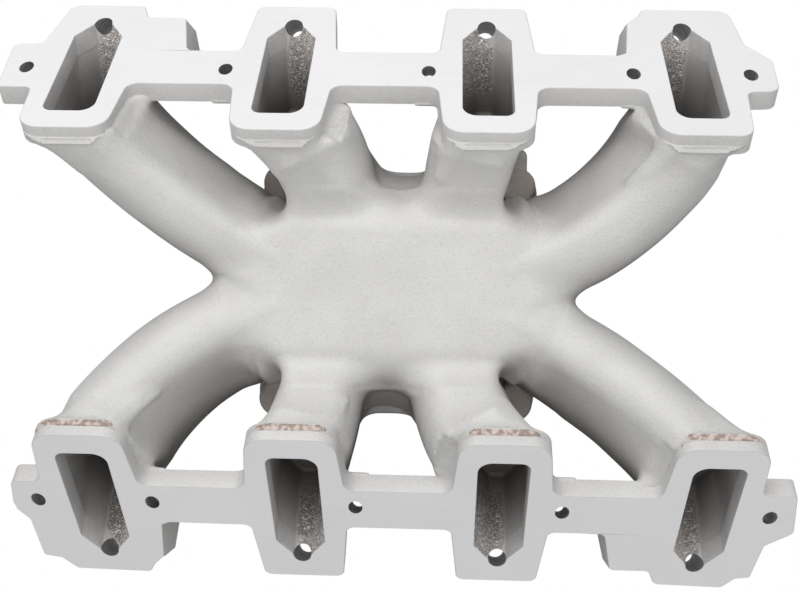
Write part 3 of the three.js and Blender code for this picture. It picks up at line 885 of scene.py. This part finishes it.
def port_wall(name, light, dark):
    """The cored passage: a muted grey-brown, with a crinkled skin near the injector bore whose ridges get
    painted highlights and whose hollows get painted shade, and painted shade further down the passage.
    """
    n = Nodes(name)
    wrinkle = n.noise(500, 2, 0.55, distortion=0.9)
    ridge = n.maths("ABSOLUTE", n.maths("SUBTRACT", wrinkle, 0.5))
    ridge = n.maths("MULTIPLY", ridge, 7.0, clamp=True)
    mask = n.attribute("crinkle")
    grains = n.noise(1300, 3, 0.65)
    clouds = n.noise(45, 4, 0.6)
    tone = n.ramp(clouds, [(0.3, dark), (0.7, light)])
    # Painted light and shade on the crinkle: its ridges are brightened up to 1.75 times and its hollows
    # darkened to 0.55 times.
    crinkle_light_and_shade = n.ramp(ridge, [(0.0, (0.55, 0.51, 0.48)), (0.35, (1.15, 1.09, 1.05)), (1.0, (1.75, 1.68, 1.63))])
    crinkled = n.mix(1.0, tone, crinkle_light_and_shade, "MULTIPLY")
    speck = n.ramp(grains, [(0.35, (0.82, 0.81, 0.8)), (0.6, (1.08, 1.07, 1.06))])
    smooth = n.mix(0.8, tone, speck, "MULTIPLY")
    colour = n.mix(mask, smooth, crinkled)
    # Painted shade: the passage wall is darkened towards a fifth of its colour as the point attribute rises,
    # further down from the head face.
    dark = n.mix(1.0, colour, (0.20, 0.185, 0.17), "MULTIPLY")
    colour = n.mix(n.attribute("deep"), colour, dark)
    roughness = n.spread(grains, 0.5, 0.72)
    raised = n.maths("MULTIPLY", ridge, mask)
    under = n.bump(grains, 0.00016, 0.8)
    normal = n.bump(raised, 0.0011, 1.0, under)
    return n.finish(colour, roughness, normal, 0.5)


def bore_wall(name, light, dark):
    """A drilled hole: fine rings along its length."""
    n = Nodes(name)
    rings = n.noise(800, 2, 0.6, stretch=(0.04, 0.04, 1))
    clouds = n.noise(160, 3, 0.5)
    tone = n.ramp(rings, [(0.36, dark), (0.64, light)])
    speck = n.ramp(clouds, [(0.3, (0.8, 0.79, 0.78)), (0.7, 1)])
    colour = n.mix(0.8, tone, speck, "MULTIPLY")
    roughness = n.spread(clouds, 0.3, 0.55)
    normal = n.bump(rings, 0.00015, 0.8)
    return n.finish(colour, roughness, normal, 0.6)


CAST = cast_skin("cast_skin", (0.71, 0.704, 0.692), (0.65, 0.643, 0.63))
ROUGH = cast_skin("rough_cast_skin", (0.82, 0.76, 0.71), (0.66, 0.59, 0.54), 1.6)
MACHINED = machined_face("machined_face", (0.93, 0.93, 0.94), (0.89, 0.89, 0.90))
MILLED = milled_edge("milled_edge", (0.86, 0.85, 0.84), (0.76, 0.75, 0.74))
PORT = port_wall("port_wall", (0.76, 0.765, 0.77), (0.65, 0.645, 0.64))
# Painted shade: the walls of the milled ledge steps are coloured dark brown.
STEP_WALL_SHADE = cast_skin("step_wall_painted_shade", (0.42, 0.36, 0.32), (0.30, 0.25, 0.215), 1.2)
BORE = bore_wall("bore_wall", (0.70, 0.70, 0.695), (0.46, 0.45, 0.44))
MATERIALS = [CAST, PORT, MACHINED, MILLED, ROUGH, STEP_WALL_SHADE, BORE]
CAST_I, PORT_I, MACHINED_I, MILLED_I, ROUGH_I, STEP_SHADE_I, BORE_I = range(7)

# ---- objects


def new_object(name, points, faces, materials=None):
    """A mesh object from points in mm, with the shared material list."""
    mesh = bpy.data.meshes.new(name)
    mesh.from_pydata((np.asarray(points, float) * MM).tolist(), [], faces)
    for material in MATERIALS:
        mesh.materials.append(material)
    if materials is not None:
        mesh.polygons.foreach_set("material_index", np.asarray(materials, np.int32))
    mesh.update()
    obj = bpy.data.objects.new(name, mesh)
    bpy.context.scene.collection.objects.link(obj)
    return obj


def read(items, key, width=1, kind=float):
    """One number, or one row of width numbers, for each item of a mesh collection."""
    values = np.empty(len(items) * width, kind)
    items.foreach_get(key, values)
    return values.reshape(-1, width) if width > 1 else values


def coordinates(mesh):
    return read(mesh.vertices, "co", 3) / MM


def paint(mesh, name, values):
    """Stores one number for each point, which the materials read as an attribute."""
    stored = mesh.attributes.new(name, "FLOAT", "POINT")
    stored.data.foreach_set("value", values.astype(np.float32))


def smooth(mesh, sharp_angle):
    mesh.polygons.foreach_set("use_smooth", np.ones(len(mesh.polygons), bool))
    mesh.set_sharp_from_angle(angle=math.radians(sharp_angle))


def mend(mesh, weld=False, bevel=0.0):
    """Turns a closed mesh's faces outwards, and can weld its double points or round its edges."""
    bm = bmesh.new()
    bm.from_mesh(mesh)
    if weld:
        bmesh.ops.remove_doubles(bm, verts=bm.verts, dist=1e-7)
    bmesh.ops.recalc_face_normals(bm, faces=bm.faces)
    if bevel:
        bmesh.ops.bevel(bm, geom=list(bm.edges), offset=bevel * MM, segments=3, affect="EDGES", profile=0.5)
    bm.to_mesh(mesh)
    bm.free()


def boolean(obj, cutter, operation, solver="MANIFOLD"):
    """A copy of obj's mesh, cut by cutter."""
    modifier = obj.modifiers.new("cut", "BOOLEAN")
    modifier.operation = operation
    modifier.object = cutter
    modifier.solver = solver
    depsgraph = bpy.context.evaluated_depsgraph_get()
    result = bpy.data.meshes.new_from_object(obj.evaluated_get(depsgraph))
    obj.modifiers.remove(modifier)
    return result


def discard(obj):
    mesh = obj.data
    bpy.data.objects.remove(obj)
    bpy.data.meshes.remove(mesh)


def circle(x, y, radius, sides=40):
    angles = [2 * math.pi * k / sides for k in range(sides)]
    return [(x + radius * math.cos(angle), y + radius * math.sin(angle)) for angle in angles]


def prism(outline, low, high):
    """Corners and faces of an upright prism."""
    count = len(outline)
    corners = [(x, y, z) for z in (low, high) for x, y in outline]
    faces = [list(range(count))[::-1], list(range(count, 2 * count))]
    faces += [[k, (k + 1) % count, count + (k + 1) % count, count + k] for k in range(count)]
    return corners, faces


def prism_object(name, outline, low, high, material, matrix=None):
    """An upright prism over a plan outline, in mm, or one placed by matrix."""
    corners, faces = prism(outline, low, high)
    if matrix:
        corners = [tuple(matrix @ Vector(c)) for c in corners]
    return new_object(name, corners, faces, [material] * len(faces))


def half_turn(points):
    return [(-x, -y) for x, y in points]


# ---- the casting as a mesh


def casting_object():
    grid = openvdb.FloatGrid()
    grid.background = 3 * STEP
    grid.copyFromArray(np.clip(CASTING, -3 * STEP, 3 * STEP).astype(np.float32))
    points, quads = grid.convertToQuads(isovalue=0.0)
    points = points * STEP + np.array([XS[0], YS[0], ZS[0]])
    return new_object("casting", points, quads.tolist())


def below_cutter():
    """Everything under the machined carburettor face."""
    return prism_object("below", rectangle(300, 300, 1), -60, 0, MACHINED_I)


def face_cutter(name, outline, low, floor, wall, side):
    """A cut into the casting from the head face, with the outline's walls."""
    obj = prism_object(name, outline, low, 60, floor, FACE)
    for polygon in obj.data.polygons[2:]:
        polygon.material_index = wall
    if side < 0:
        obj.data.transform(Matrix.Rotation(math.pi, 4, "Z"))
    return obj


def face_cutters():
    """The room that the flange plates take, and the ledge milled at the foot of each pad."""
    for side, letter in ((1, "a"), (-1, "b")):
        yield face_cutter("seat", flange_outline(letter), -CAST_TOP, CAST_I, CAST_I, side)
        for x in PORT_X:
            room = [(x - 22, -8), (x - 22, -26), (x + 22, -26), (x + 22, -8)]
            # The walls of each ledge take the dark brown step-wall material, which is painted shade.
            yield face_cutter("ledge", room, -LEDGE_DEPTH, MILLED_I, STEP_SHADE_I, side)


def bore_cutter():
    """All the drilled holes of the casting as one object."""
    holes = []
    for side in (1, -1):
        holes += [(side * x, side * INJECTOR_Y, INJECTOR_R, *THROUGH) for x in PORT_X]
        holes += [(side * x, side * BOLT_Y, BOLT_R, *THROUGH) for x in BOLT_X]
    holes += [(x, y, STUD_R, BELOW - 2, STUD_DEPTH) for x, y in STUDS]
    points, faces = [], []
    for x, y, radius, low, high in holes:
        corners, sides = prism(circle(x, y, radius), low, high)
        faces += [[len(points) + k for k in face] for face in sides]
        points += corners
    return new_object("bores", points, faces, [BORE_I] * len(faces))


# Corners of the plan cells that part the casting.
NOSE_CELL = (100.0, -5.6)
CORNER = (75.5, 58.0)
GAP_FOOT = (5.0, 58.0)
FAR_X, FAR_Y = 230.0, 176.0
OUT_LEFT = (-158.0, FAR_Y)
OUT_MIDDLE = (-8.0, FAR_Y)
OUT_RIGHT = (152.0, FAR_Y)


def cells():
    """Plan outlines that part the casting into its named pieces."""
    left, right = (-CORNER[0], CORNER[1]), CORNER
    nose_left, nose_right = (-NOSE_CELL[0], -NOSE_CELL[1]), NOSE_CELL
    a = {
        "runner_a1": [nose_left, left, OUT_LEFT, (-FAR_X, FAR_Y), (-FAR_X, nose_left[1])],
        "runner_a2": [left, GAP_FOOT, OUT_MIDDLE, OUT_LEFT],
        "runner_a3": [GAP_FOOT, right, OUT_RIGHT, OUT_MIDDLE],
        "runner_a4": [right, nose_right, (FAR_X, nose_right[1]), (FAR_X, FAR_Y), OUT_RIGHT],
    }
    found = dict(a)
    for name, outline in a.items():
        found[name.replace("_a", "_b")] = half_turn(outline)
    ring = [nose_left, left, GAP_FOOT, right]
    found["plenum"] = found["carburettor_flange"] = ring + half_turn(ring)
    return found


def anticlockwise(points):
    area = sum(ax * by - bx * ay for (ax, ay), (bx, by) in zip(points, points[1:] + points[:1]))
    return points if area > 0 else points[::-1]


# The rough part round the stud bosses: ranges of |x|, |y| and z.
ROUGH_BOX = ((46, 92), (46, 82), (11, 30))


def dress(mesh):
    """Gives a casting piece its materials, normals and attributes, by where its faces are."""
    co = coordinates(mesh)
    material = read(mesh.polygons, "material_index", kind=np.int32)
    centres = read(mesh.polygons, "center", 3) / MM
    flat = read(mesh.polygons, "normal", 3)

    outside, inside = sample(OUTER.values, centres), sample(INNER.values, centres)
    material[(material == CAST_I) & (np.abs(inside) < np.abs(outside))] = PORT_I
    rough = material == CAST_I
    for values, (low, high) in zip((*np.abs(centres[:, :2].T), centres[:, 2]), ROUGH_BOX):
        rough &= (values > low) & (values < high)
    material[rough] = ROUGH_I
    mesh.polygons.foreach_set("material_index", material)

    side = np.where(co[:, 1] > 0, 1, -1)
    normal = gradient(CASTING, co)
    down, above = face_coordinates(co[:, 1] * side, co[:, 2])
    facing_up_face = -(normal[:, 1] * side * DOWN.y + normal[:, 2] * DOWN.z)
    towards_middle = -normal[:, 0] * np.sign(co[:, 0])
    crinkle = fade(facing_up_face, 0.35, 0.25) * fade(above, -42, 10)
    paint(mesh, "crinkle", crinkle * np.clip(1 - 2.5 * towards_middle, 0, 1))
    # Painted shade on the outside: darker below z 98 and fully so by z 70, on walls that stand upright or
    # face down, and most on sides that face -y, away from the key lamp.
    outer_painted_shade = fade(co[:, 2], 98, -28) * np.clip(1.25 - 1.5 * normal[:, 2], 0, 1)
    outer_painted_shade *= np.clip(0.75 - 0.5 * normal[:, 1], 0, 1)
    # Inside the passages the point attribute holds painted shade that grows with depth below the head face,
    # full at 42 mm down; outside it holds the painted shade above.
    within = np.abs(sample(INNER.values, co)) < np.abs(sample(OUTER.values, co))
    paint(mesh, "deep", np.where(within, fade(above, -8, -42), np.clip(outer_painted_shade, 0, 1)))
    # Painted shade strip, on bank b only: near the ledge at the foot of each pad, within about 9 mm below the
    # face.
    paint(mesh, "scar", fade(above, -10, 1.5) * fade(down, -14, -1.5) * (side < 0))

    mesh.polygons.foreach_set("use_smooth", np.ones(len(mesh.polygons), bool))
    totals = read(mesh.polygons, "loop_total", kind=np.int32)
    flat = np.repeat(flat, totals, axis=0)
    drawn = np.repeat(np.isin(material, (CAST_I, PORT_I, ROUGH_I)), totals)
    curved = normal[read(mesh.loops, "vertex_index", kind=np.int32)]
    agree = (curved * flat).sum(1) > 0.8
    chosen = np.where((drawn & agree)[:, None], curved, flat)
    mesh.normals_split_custom_set(chosen.tolist())


# Heights of the cells; the carburettor flange is what lies under the plenum.
LOWEST, HIGHEST, FLANGE_TOP = -20, 200, CARB_THICK + 1
LEVELS = {"plenum": (FLANGE_TOP, HIGHEST), "carburettor_flange": (LOWEST, FLANGE_TOP)}


def casting_pieces():
    """The casting as named objects, cut by the flange seats, ledges and bores."""
    whole = casting_object()
    for cutter in (below_cutter(), *face_cutters(), bore_cutter()):
        whole.data = boolean(whole, cutter, "DIFFERENCE")
        discard(cutter)
    pieces = {}
    for name, outline in cells().items():
        levels = LEVELS.get(name, (LOWEST, HIGHEST))
        cell = prism_object("cell", anticlockwise(outline), *levels, CAST_I)
        mesh = boolean(whole, cell, "INTERSECT")
        mesh.name = name
        pieces[name] = bpy.data.objects.new("casting_" + name, mesh)
        bpy.context.scene.collection.objects.link(pieces[name])
        discard(cell)
    discard(whole)
    for piece in pieces.values():
        dress(piece.data)
    return pieces


for name, piece in casting_pieces().items():
    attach(piece, "root")
    if name[-1] in "14":
        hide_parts(name, name.replace("runner", "runner_throat"))
    else:
        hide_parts(name)

# ---- head flanges

CHAMFER = 0.5


def inset_loop(loop, amount):
    """Moves a closed loop's edges inwards, except its seam edges, where one plate meets the next."""
    count = len(loop)
    lines = []
    for i in range(count):
        a, b = Vector(loop[i][:2]), Vector(loop[(i + 1) % count][:2])
        along = (b - a)
        if along.length < 1e-6:
            lines.append(None)
            continue
        along.normalize()
        inward = Vector((-along.y, along.x))
        lines.append((a + inward * (0 if loop[i][2] else amount), along))
    moved = []
    for i in range(count):
        before, after = lines[i - 1] or lines[i - 2], lines[i] or lines[(i + 1) % count]
        (p, u), (q, v) = before, after
        det = u.x * v.y - u.y * v.x
        if abs(det) < 1e-4:
            moved.append((q.x, q.y) if not loop[i][2] else (p + u * (Vector(loop[i][:2]) - p).dot(u))[:2])
            continue
        t = ((q.x - p.x) * v.y - (q.y - p.y) * v.x) / det
        moved.append((p.x + t * u.x, p.y + t * u.y))
    return moved


def flange_piece(name, outline, ports, thick, letter):
    """A plate on the head face: outline has seam flags, and each port a hole."""
    rings = []
    for amount, depth in ((CHAMFER, 0), (CHAMFER * 0.3, CHAMFER * 0.3), (0, CHAMFER), (0, thick)):
        loops = [inset_loop(outline, amount)]
        for port in ports:
            hole = port_outline(port, 0, depth)
            loops.append(inset_loop([(x, y, False) for x, y in hole[::-1]], amount * 0.6))
        rings.append((loops, -depth))
    points, faces, materials = [], [], []
    start = []
    for loops, above in rings:
        ids = []
        for loop in loops:
            ids.append(list(range(len(points), len(points) + len(loop))))
            points += [tuple(on_face(x, y, above)) for x, y in loop]
        start.append(ids)
    for upper, lower in zip(start, start[1:]):
        for number, (top, bottom) in enumerate(zip(upper, lower)):
            count = len(top)
            for k in range(count):
                k2 = (k + 1) % count
                faces.append([top[k], bottom[k], bottom[k2], top[k2]])
                materials.append(PORT_I if number else CAST_I)
    for level, material in ((0, MACHINED_I), (-1, CAST_I)):
        loops, _ = rings[level]
        flat = [i for loop in start[level] for i in loop]
        outline3 = [[Vector((x, y, 0)) for x, y in loop] for loop in loops]
        for a, b, c in tessellate_polygon(outline3):
            tri = [flat[a], flat[b], flat[c]]
            pa, pb, pc = (Vector(points[i]) for i in tri)
            up = (pb - pa).cross(pc - pa).dot(OUT)
            if abs(up) < 1e-9:
                continue
            if (up > 0) != (level == 0):
                tri.reverse()
            faces.append(tri)
            materials.append(material)
    if letter == "b":
        points = [(-x, -y, z) for x, y, z in points]
    obj = new_object(name, points, faces, materials)
    mend(obj.data, weld=True)
    return obj


def drill(obj, x, y, radius):
    cutter = prism_object("drill", circle(x, y, radius), *THROUGH, BORE_I)
    old = obj.data
    obj.data = boolean(obj, cutter, "DIFFERENCE", "EXACT")
    bpy.data.meshes.remove(old)
    discard(cutter)


def flange_smoothing(mesh, side):
    """Smooth arcs with crisp edges, and the crinkle on the end walls of the ports."""
    mesh.set_sharp_from_angle(angle=math.radians(30))
    material = read(mesh.polygons, "material_index", kind=np.int32)
    mesh.polygons.foreach_set("use_smooth", material != MACHINED_I)
    co = coordinates(mesh)
    down, _ = face_coordinates(co[:, 1] * side, co[:, 2])
    x = co[:, 0] * side
    off_port = x[:, None] - np.array(PORT_X)[None, :]
    off_port = np.take_along_axis(off_port, np.abs(off_port).argmin(1)[:, None], 1)[:, 0]
    end_wall = (np.abs(off_port) < PORT_HALF + 1) & (down < 96) & (down > PORT_SHOULDER - 5)
    paint(mesh, "crinkle", end_wall & (off_port * np.sign(x) < 2))


def lug_body(name, letter, inner_x, outer_top, outer_bottom):
    """A bracket lug under its face: upright walls and a level back."""
    near, far = on_face(0, RAIL_OUT, -1), on_face(0, LUG_OUT, -1)
    start = on_face(0, RAIL_OUT).y
    section = [(start - 6, near.z + 6), (far.y - 0.1, far.z),
               (far.y - 0.1, LUG_SEAT_Z), (start - 6, LUG_SEAT_Z)]
    points = [(inner_x, y, z) for y, z in section]
    for y, z in section:
        share = (y - start) / (far.y - start)
        points.append((outer_bottom + (outer_top - outer_bottom) * share, y, z))
    faces = [[0, 1, 2, 3], [7, 6, 5, 4]] + [[k, 4 + k, 4 + (k + 1) % 4, (k + 1) % 4] for k in range(4)]
    if letter == "b":
        points = [(-x, -y, z) for x, y, z in points]
    obj = new_object(name, points, faces, [CAST_I] * 6)
    mend(obj.data, bevel=0.9)
    smooth(obj.data, 50)
    return obj


SEAM = 27.0                 # from the middle of a pad to its seam with a lug or tab
SEAM_WIDE = 33.0            # and to its seam with a bar, past the fillets


def flange(letter, side):
    """The plates of one bank's head flange, drilled, and the bodies of its bracket lugs."""
    whole = [(x, y, False) for x, y in flange_outline(letter)]
    first, last = PORT_X[0], PORT_X[-1]
    right_seams = [first + SEAM, PORT_X[1] + SEAM_WIDE, PORT_X[2] + SEAM_WIDE, last + SEAM]
    left_seams = [first - SEAM, PORT_X[1] - SEAM_WIDE, PORT_X[2] - SEAM_WIDE, last - SEAM]

    def plate(node, left, right, ports=(), holes=(), above=None, below=None):
        """The outline between limits in x and down the face, as one drilled piece."""
        part = whole
        limits = (((-1, 0), left), ((1, 0), right), ((0, 1), above), ((0, -1), below))
        for normal, limit in limits:
            if limit is not None:
                part = clip(part, normal, limit * sum(normal))
        obj = flange_piece("cast_" + node, part, ports, PLATE, letter)
        for x, y, radius in holes:
            drill(obj, side * x, side * y, radius)
        flange_smoothing(obj.data, side)
        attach(obj, "root")
        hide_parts(node)

    for n, (x, left, right) in enumerate(zip(PORT_X, left_seams, right_seams), 1):
        holes = [(x, INJECTOR_Y, INJECTOR_R)]
        holes += [(bolt, BOLT_Y, BOLT_R) for bolt in BOLT_X if left < bolt + BOLT_R and bolt - BOLT_R < right]
        plate(f"flange_pad_{letter}{n}", left, right, [x], holes)
    for n, (left, right) in enumerate(zip(right_seams, left_seams[1:]), 1):
        above = RAIL_OUT + (6 if n == 2 else 0)
        plate(f"rail_bar_{letter}{n}", left, right, holes=[(BOLT_X[n], BOLT_Y, BOLT_R)], above=above)
    plate(f"end_tab_{letter}1", None, left_seams[0], holes=[(BOLT_X[0], BOLT_Y, BOLT_R)])
    plate(f"end_tab_{letter}2", right_seams[3], None, holes=[(BOLT_X[4], BOLT_Y, BOLT_R)])
    # lugs: limits of the face, inner wall of the body, and its outer wall at the top and at the bottom
    for n, left, right, inner, top, bottom in (
        (1, first + SEAM, first + 62, first + SEAM - 6, first + 47.5, first + 53),
        (2, last - 62, last - SEAM, last - SEAM + 6, last - 31, last - 34.5),
    ):
        name = f"bracket_lug_{letter}{n}"
        plate(name, left, right, below=RAIL_OUT)
        body = lug_body("cast_" + name + "_back", letter, inner, top, bottom)
        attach(body, "root")


flange("a", 1)
flange("b", -1)

# ---- seats of the bosses


def seat(name, x, y, profile, sides=48):
    """A turned ring: profile is a closed loop of (radius, height) pairs."""
    points, faces, materials = [], [], []
    count = len(profile)
    for k in range(sides):
        angle, k2 = 2 * math.pi * k / sides, (k + 1) % sides
        points += [(x + r * math.cos(angle), y + r * math.sin(angle), z) for r, z in profile]
        for i in range(count):
            i2 = (i + 1) % count
            faces.append([k * count + i, k2 * count + i, k2 * count + i2, k * count + i2])
            flat = abs(profile[i][1] - profile[i2][1]) < 1e-6 and i == 0
            bore = profile[i][0] == profile[i2][0] == profile[0][0]
            materials.append(MACHINED_I if flat or bore else ROUGH_I)
    obj = new_object(name, points, faces, materials)
    mend(obj.data)
    smooth(obj.data, 35)
    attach(obj, "root")
    return obj


SEAT_HEIGHT = 8


def seat_profile(bore, radius, low):
    high = low + SEAT_HEIGHT
    return [(bore, low), (radius - 0.8, low), (radius - 0.25, low + 0.25), (radius, low + 0.8),
            (radius + 0.1, high - 2), (radius - 1.5, high), (bore, high)]


INJECTOR_SEAT = seat_profile(INJECTOR_R, INJECTOR_BOSS_R, INJECTOR_SEAT_Z)
BOLT_SEAT = seat_profile(BOLT_R, BOLT_BOSS_R, BOLT_SEAT_Z)
for letter, side in (("a", 1), ("b", -1)):
    for kind, xs, y, profile in (("injector_boss", PORT_X, INJECTOR_Y, INJECTOR_SEAT),
                                 ("bolt_boss", BOLT_X, BOLT_Y, BOLT_SEAT)):
        for n, x in enumerate(xs, 1):
            ring = seat(f"cast_{kind}_{letter}{n}", side * x, side * y, profile)
            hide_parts(f"{kind}_{letter}{n}")

# ---- floor, light and camera


FLOOR_HALF = 4.0
FLOOR_Z = -0.0004


def floor():
    """A sheet that is plain white to the camera and grey to every other ray."""
    mesh = bpy.data.meshes.new("floor")
    corners = [(x * FLOOR_HALF, y * FLOOR_HALF, FLOOR_Z) for x, y in ((-1, -1), (1, -1), (1, 1), (-1, 1))]
    mesh.from_pydata(corners, [], [(0, 1, 2, 3)])
    obj = bpy.data.objects.new("floor", mesh)
    bpy.context.scene.collection.objects.link(obj)
    n = Nodes("floor")
    n.feed(n.shader.inputs["Base Color"], (0.35, 0.35, 0.35))
    n.feed(n.shader.inputs["Roughness"], 0.9)
    glow = n.add("Emission", {"Color": (1, 1, 1)}).outputs["Emission"]
    seen = n.add("LightPath", {}).outputs["Is Camera Ray"]
    mix = n.add("MixShader", {"Fac": seen, 1: n.shader.outputs["BSDF"], 2: glow}).outputs["Shader"]
    n.feed(n.tree.nodes["Material Output"].inputs["Surface"], mix)
    mesh.materials.append(n.material)


def area_light(name, place, target, size, power):
    """A round lamp that faces target."""
    data = bpy.data.lights.new(name, "AREA")
    data.shape = "DISK"
    data.size = size
    data.energy = power
    obj = bpy.data.objects.new(name, data)
    obj.location = place
    obj.rotation_euler = (Vector(target) - Vector(place)).to_track_quat("-Z", "Y").to_euler()
    bpy.context.scene.collection.objects.link(obj)


def studio():
    """A sky that is brighter overhead, and one large lamp beyond bank a."""
    world = bpy.data.worlds.new("studio")
    world.use_nodes = True
    background = world.node_tree.nodes["Background"]
    background.inputs["Strength"].default_value = 0.87
    where = world.node_tree.nodes.new("ShaderNodeTexCoord").outputs["Generated"]
    split = world.node_tree.nodes.new("ShaderNodeSeparateXYZ")
    ramp = world.node_tree.nodes.new("ShaderNodeValToRGB")
    ramp.color_ramp.elements[0].color = (0.52, 0.52, 0.525, 1)
    ramp.color_ramp.elements[1].color = (1, 1, 1, 1)
    ramp.color_ramp.elements[1].position = 0.75
    world.node_tree.links.new(where, split.inputs["Vector"])
    world.node_tree.links.new(split.outputs["Z"], ramp.inputs["Fac"])
    world.node_tree.links.new(ramp.outputs["Color"], background.inputs["Color"])
    bpy.context.scene.world = world
    area_light("key", (-0.25, 1.2, 1.3), (0, 0, 0.05), 0.8, 10.5)


CAMERA_PLACE = (0.0285, -0.0181, 0.7254)
CAMERA_TURN = (-0.02235, 0.0379, 0.01869)   # with x to the right, y down and z ahead
CAMERA_LENS = 52.36


def camera():
    data = bpy.data.cameras.new("camera")
    data.sensor_width = 36
    data.lens = CAMERA_LENS
    data.clip_start = 0.05
    obj = bpy.data.objects.new("camera", data)
    turn = Euler(CAMERA_TURN, "XYZ").to_matrix()
    flip = Matrix(((1, 0, 0), (0, -1, 0), (0, 0, -1)))
    turned = flip @ turn.transposed() @ flip
    obj.matrix_world = Matrix.Translation(CAMERA_PLACE) @ turned.to_4x4()
    bpy.context.scene.collection.objects.link(obj)
    bpy.context.scene.camera = obj


floor()
studio()
camera()
bpy.context.scene.view_settings.view_transform = "Standard"
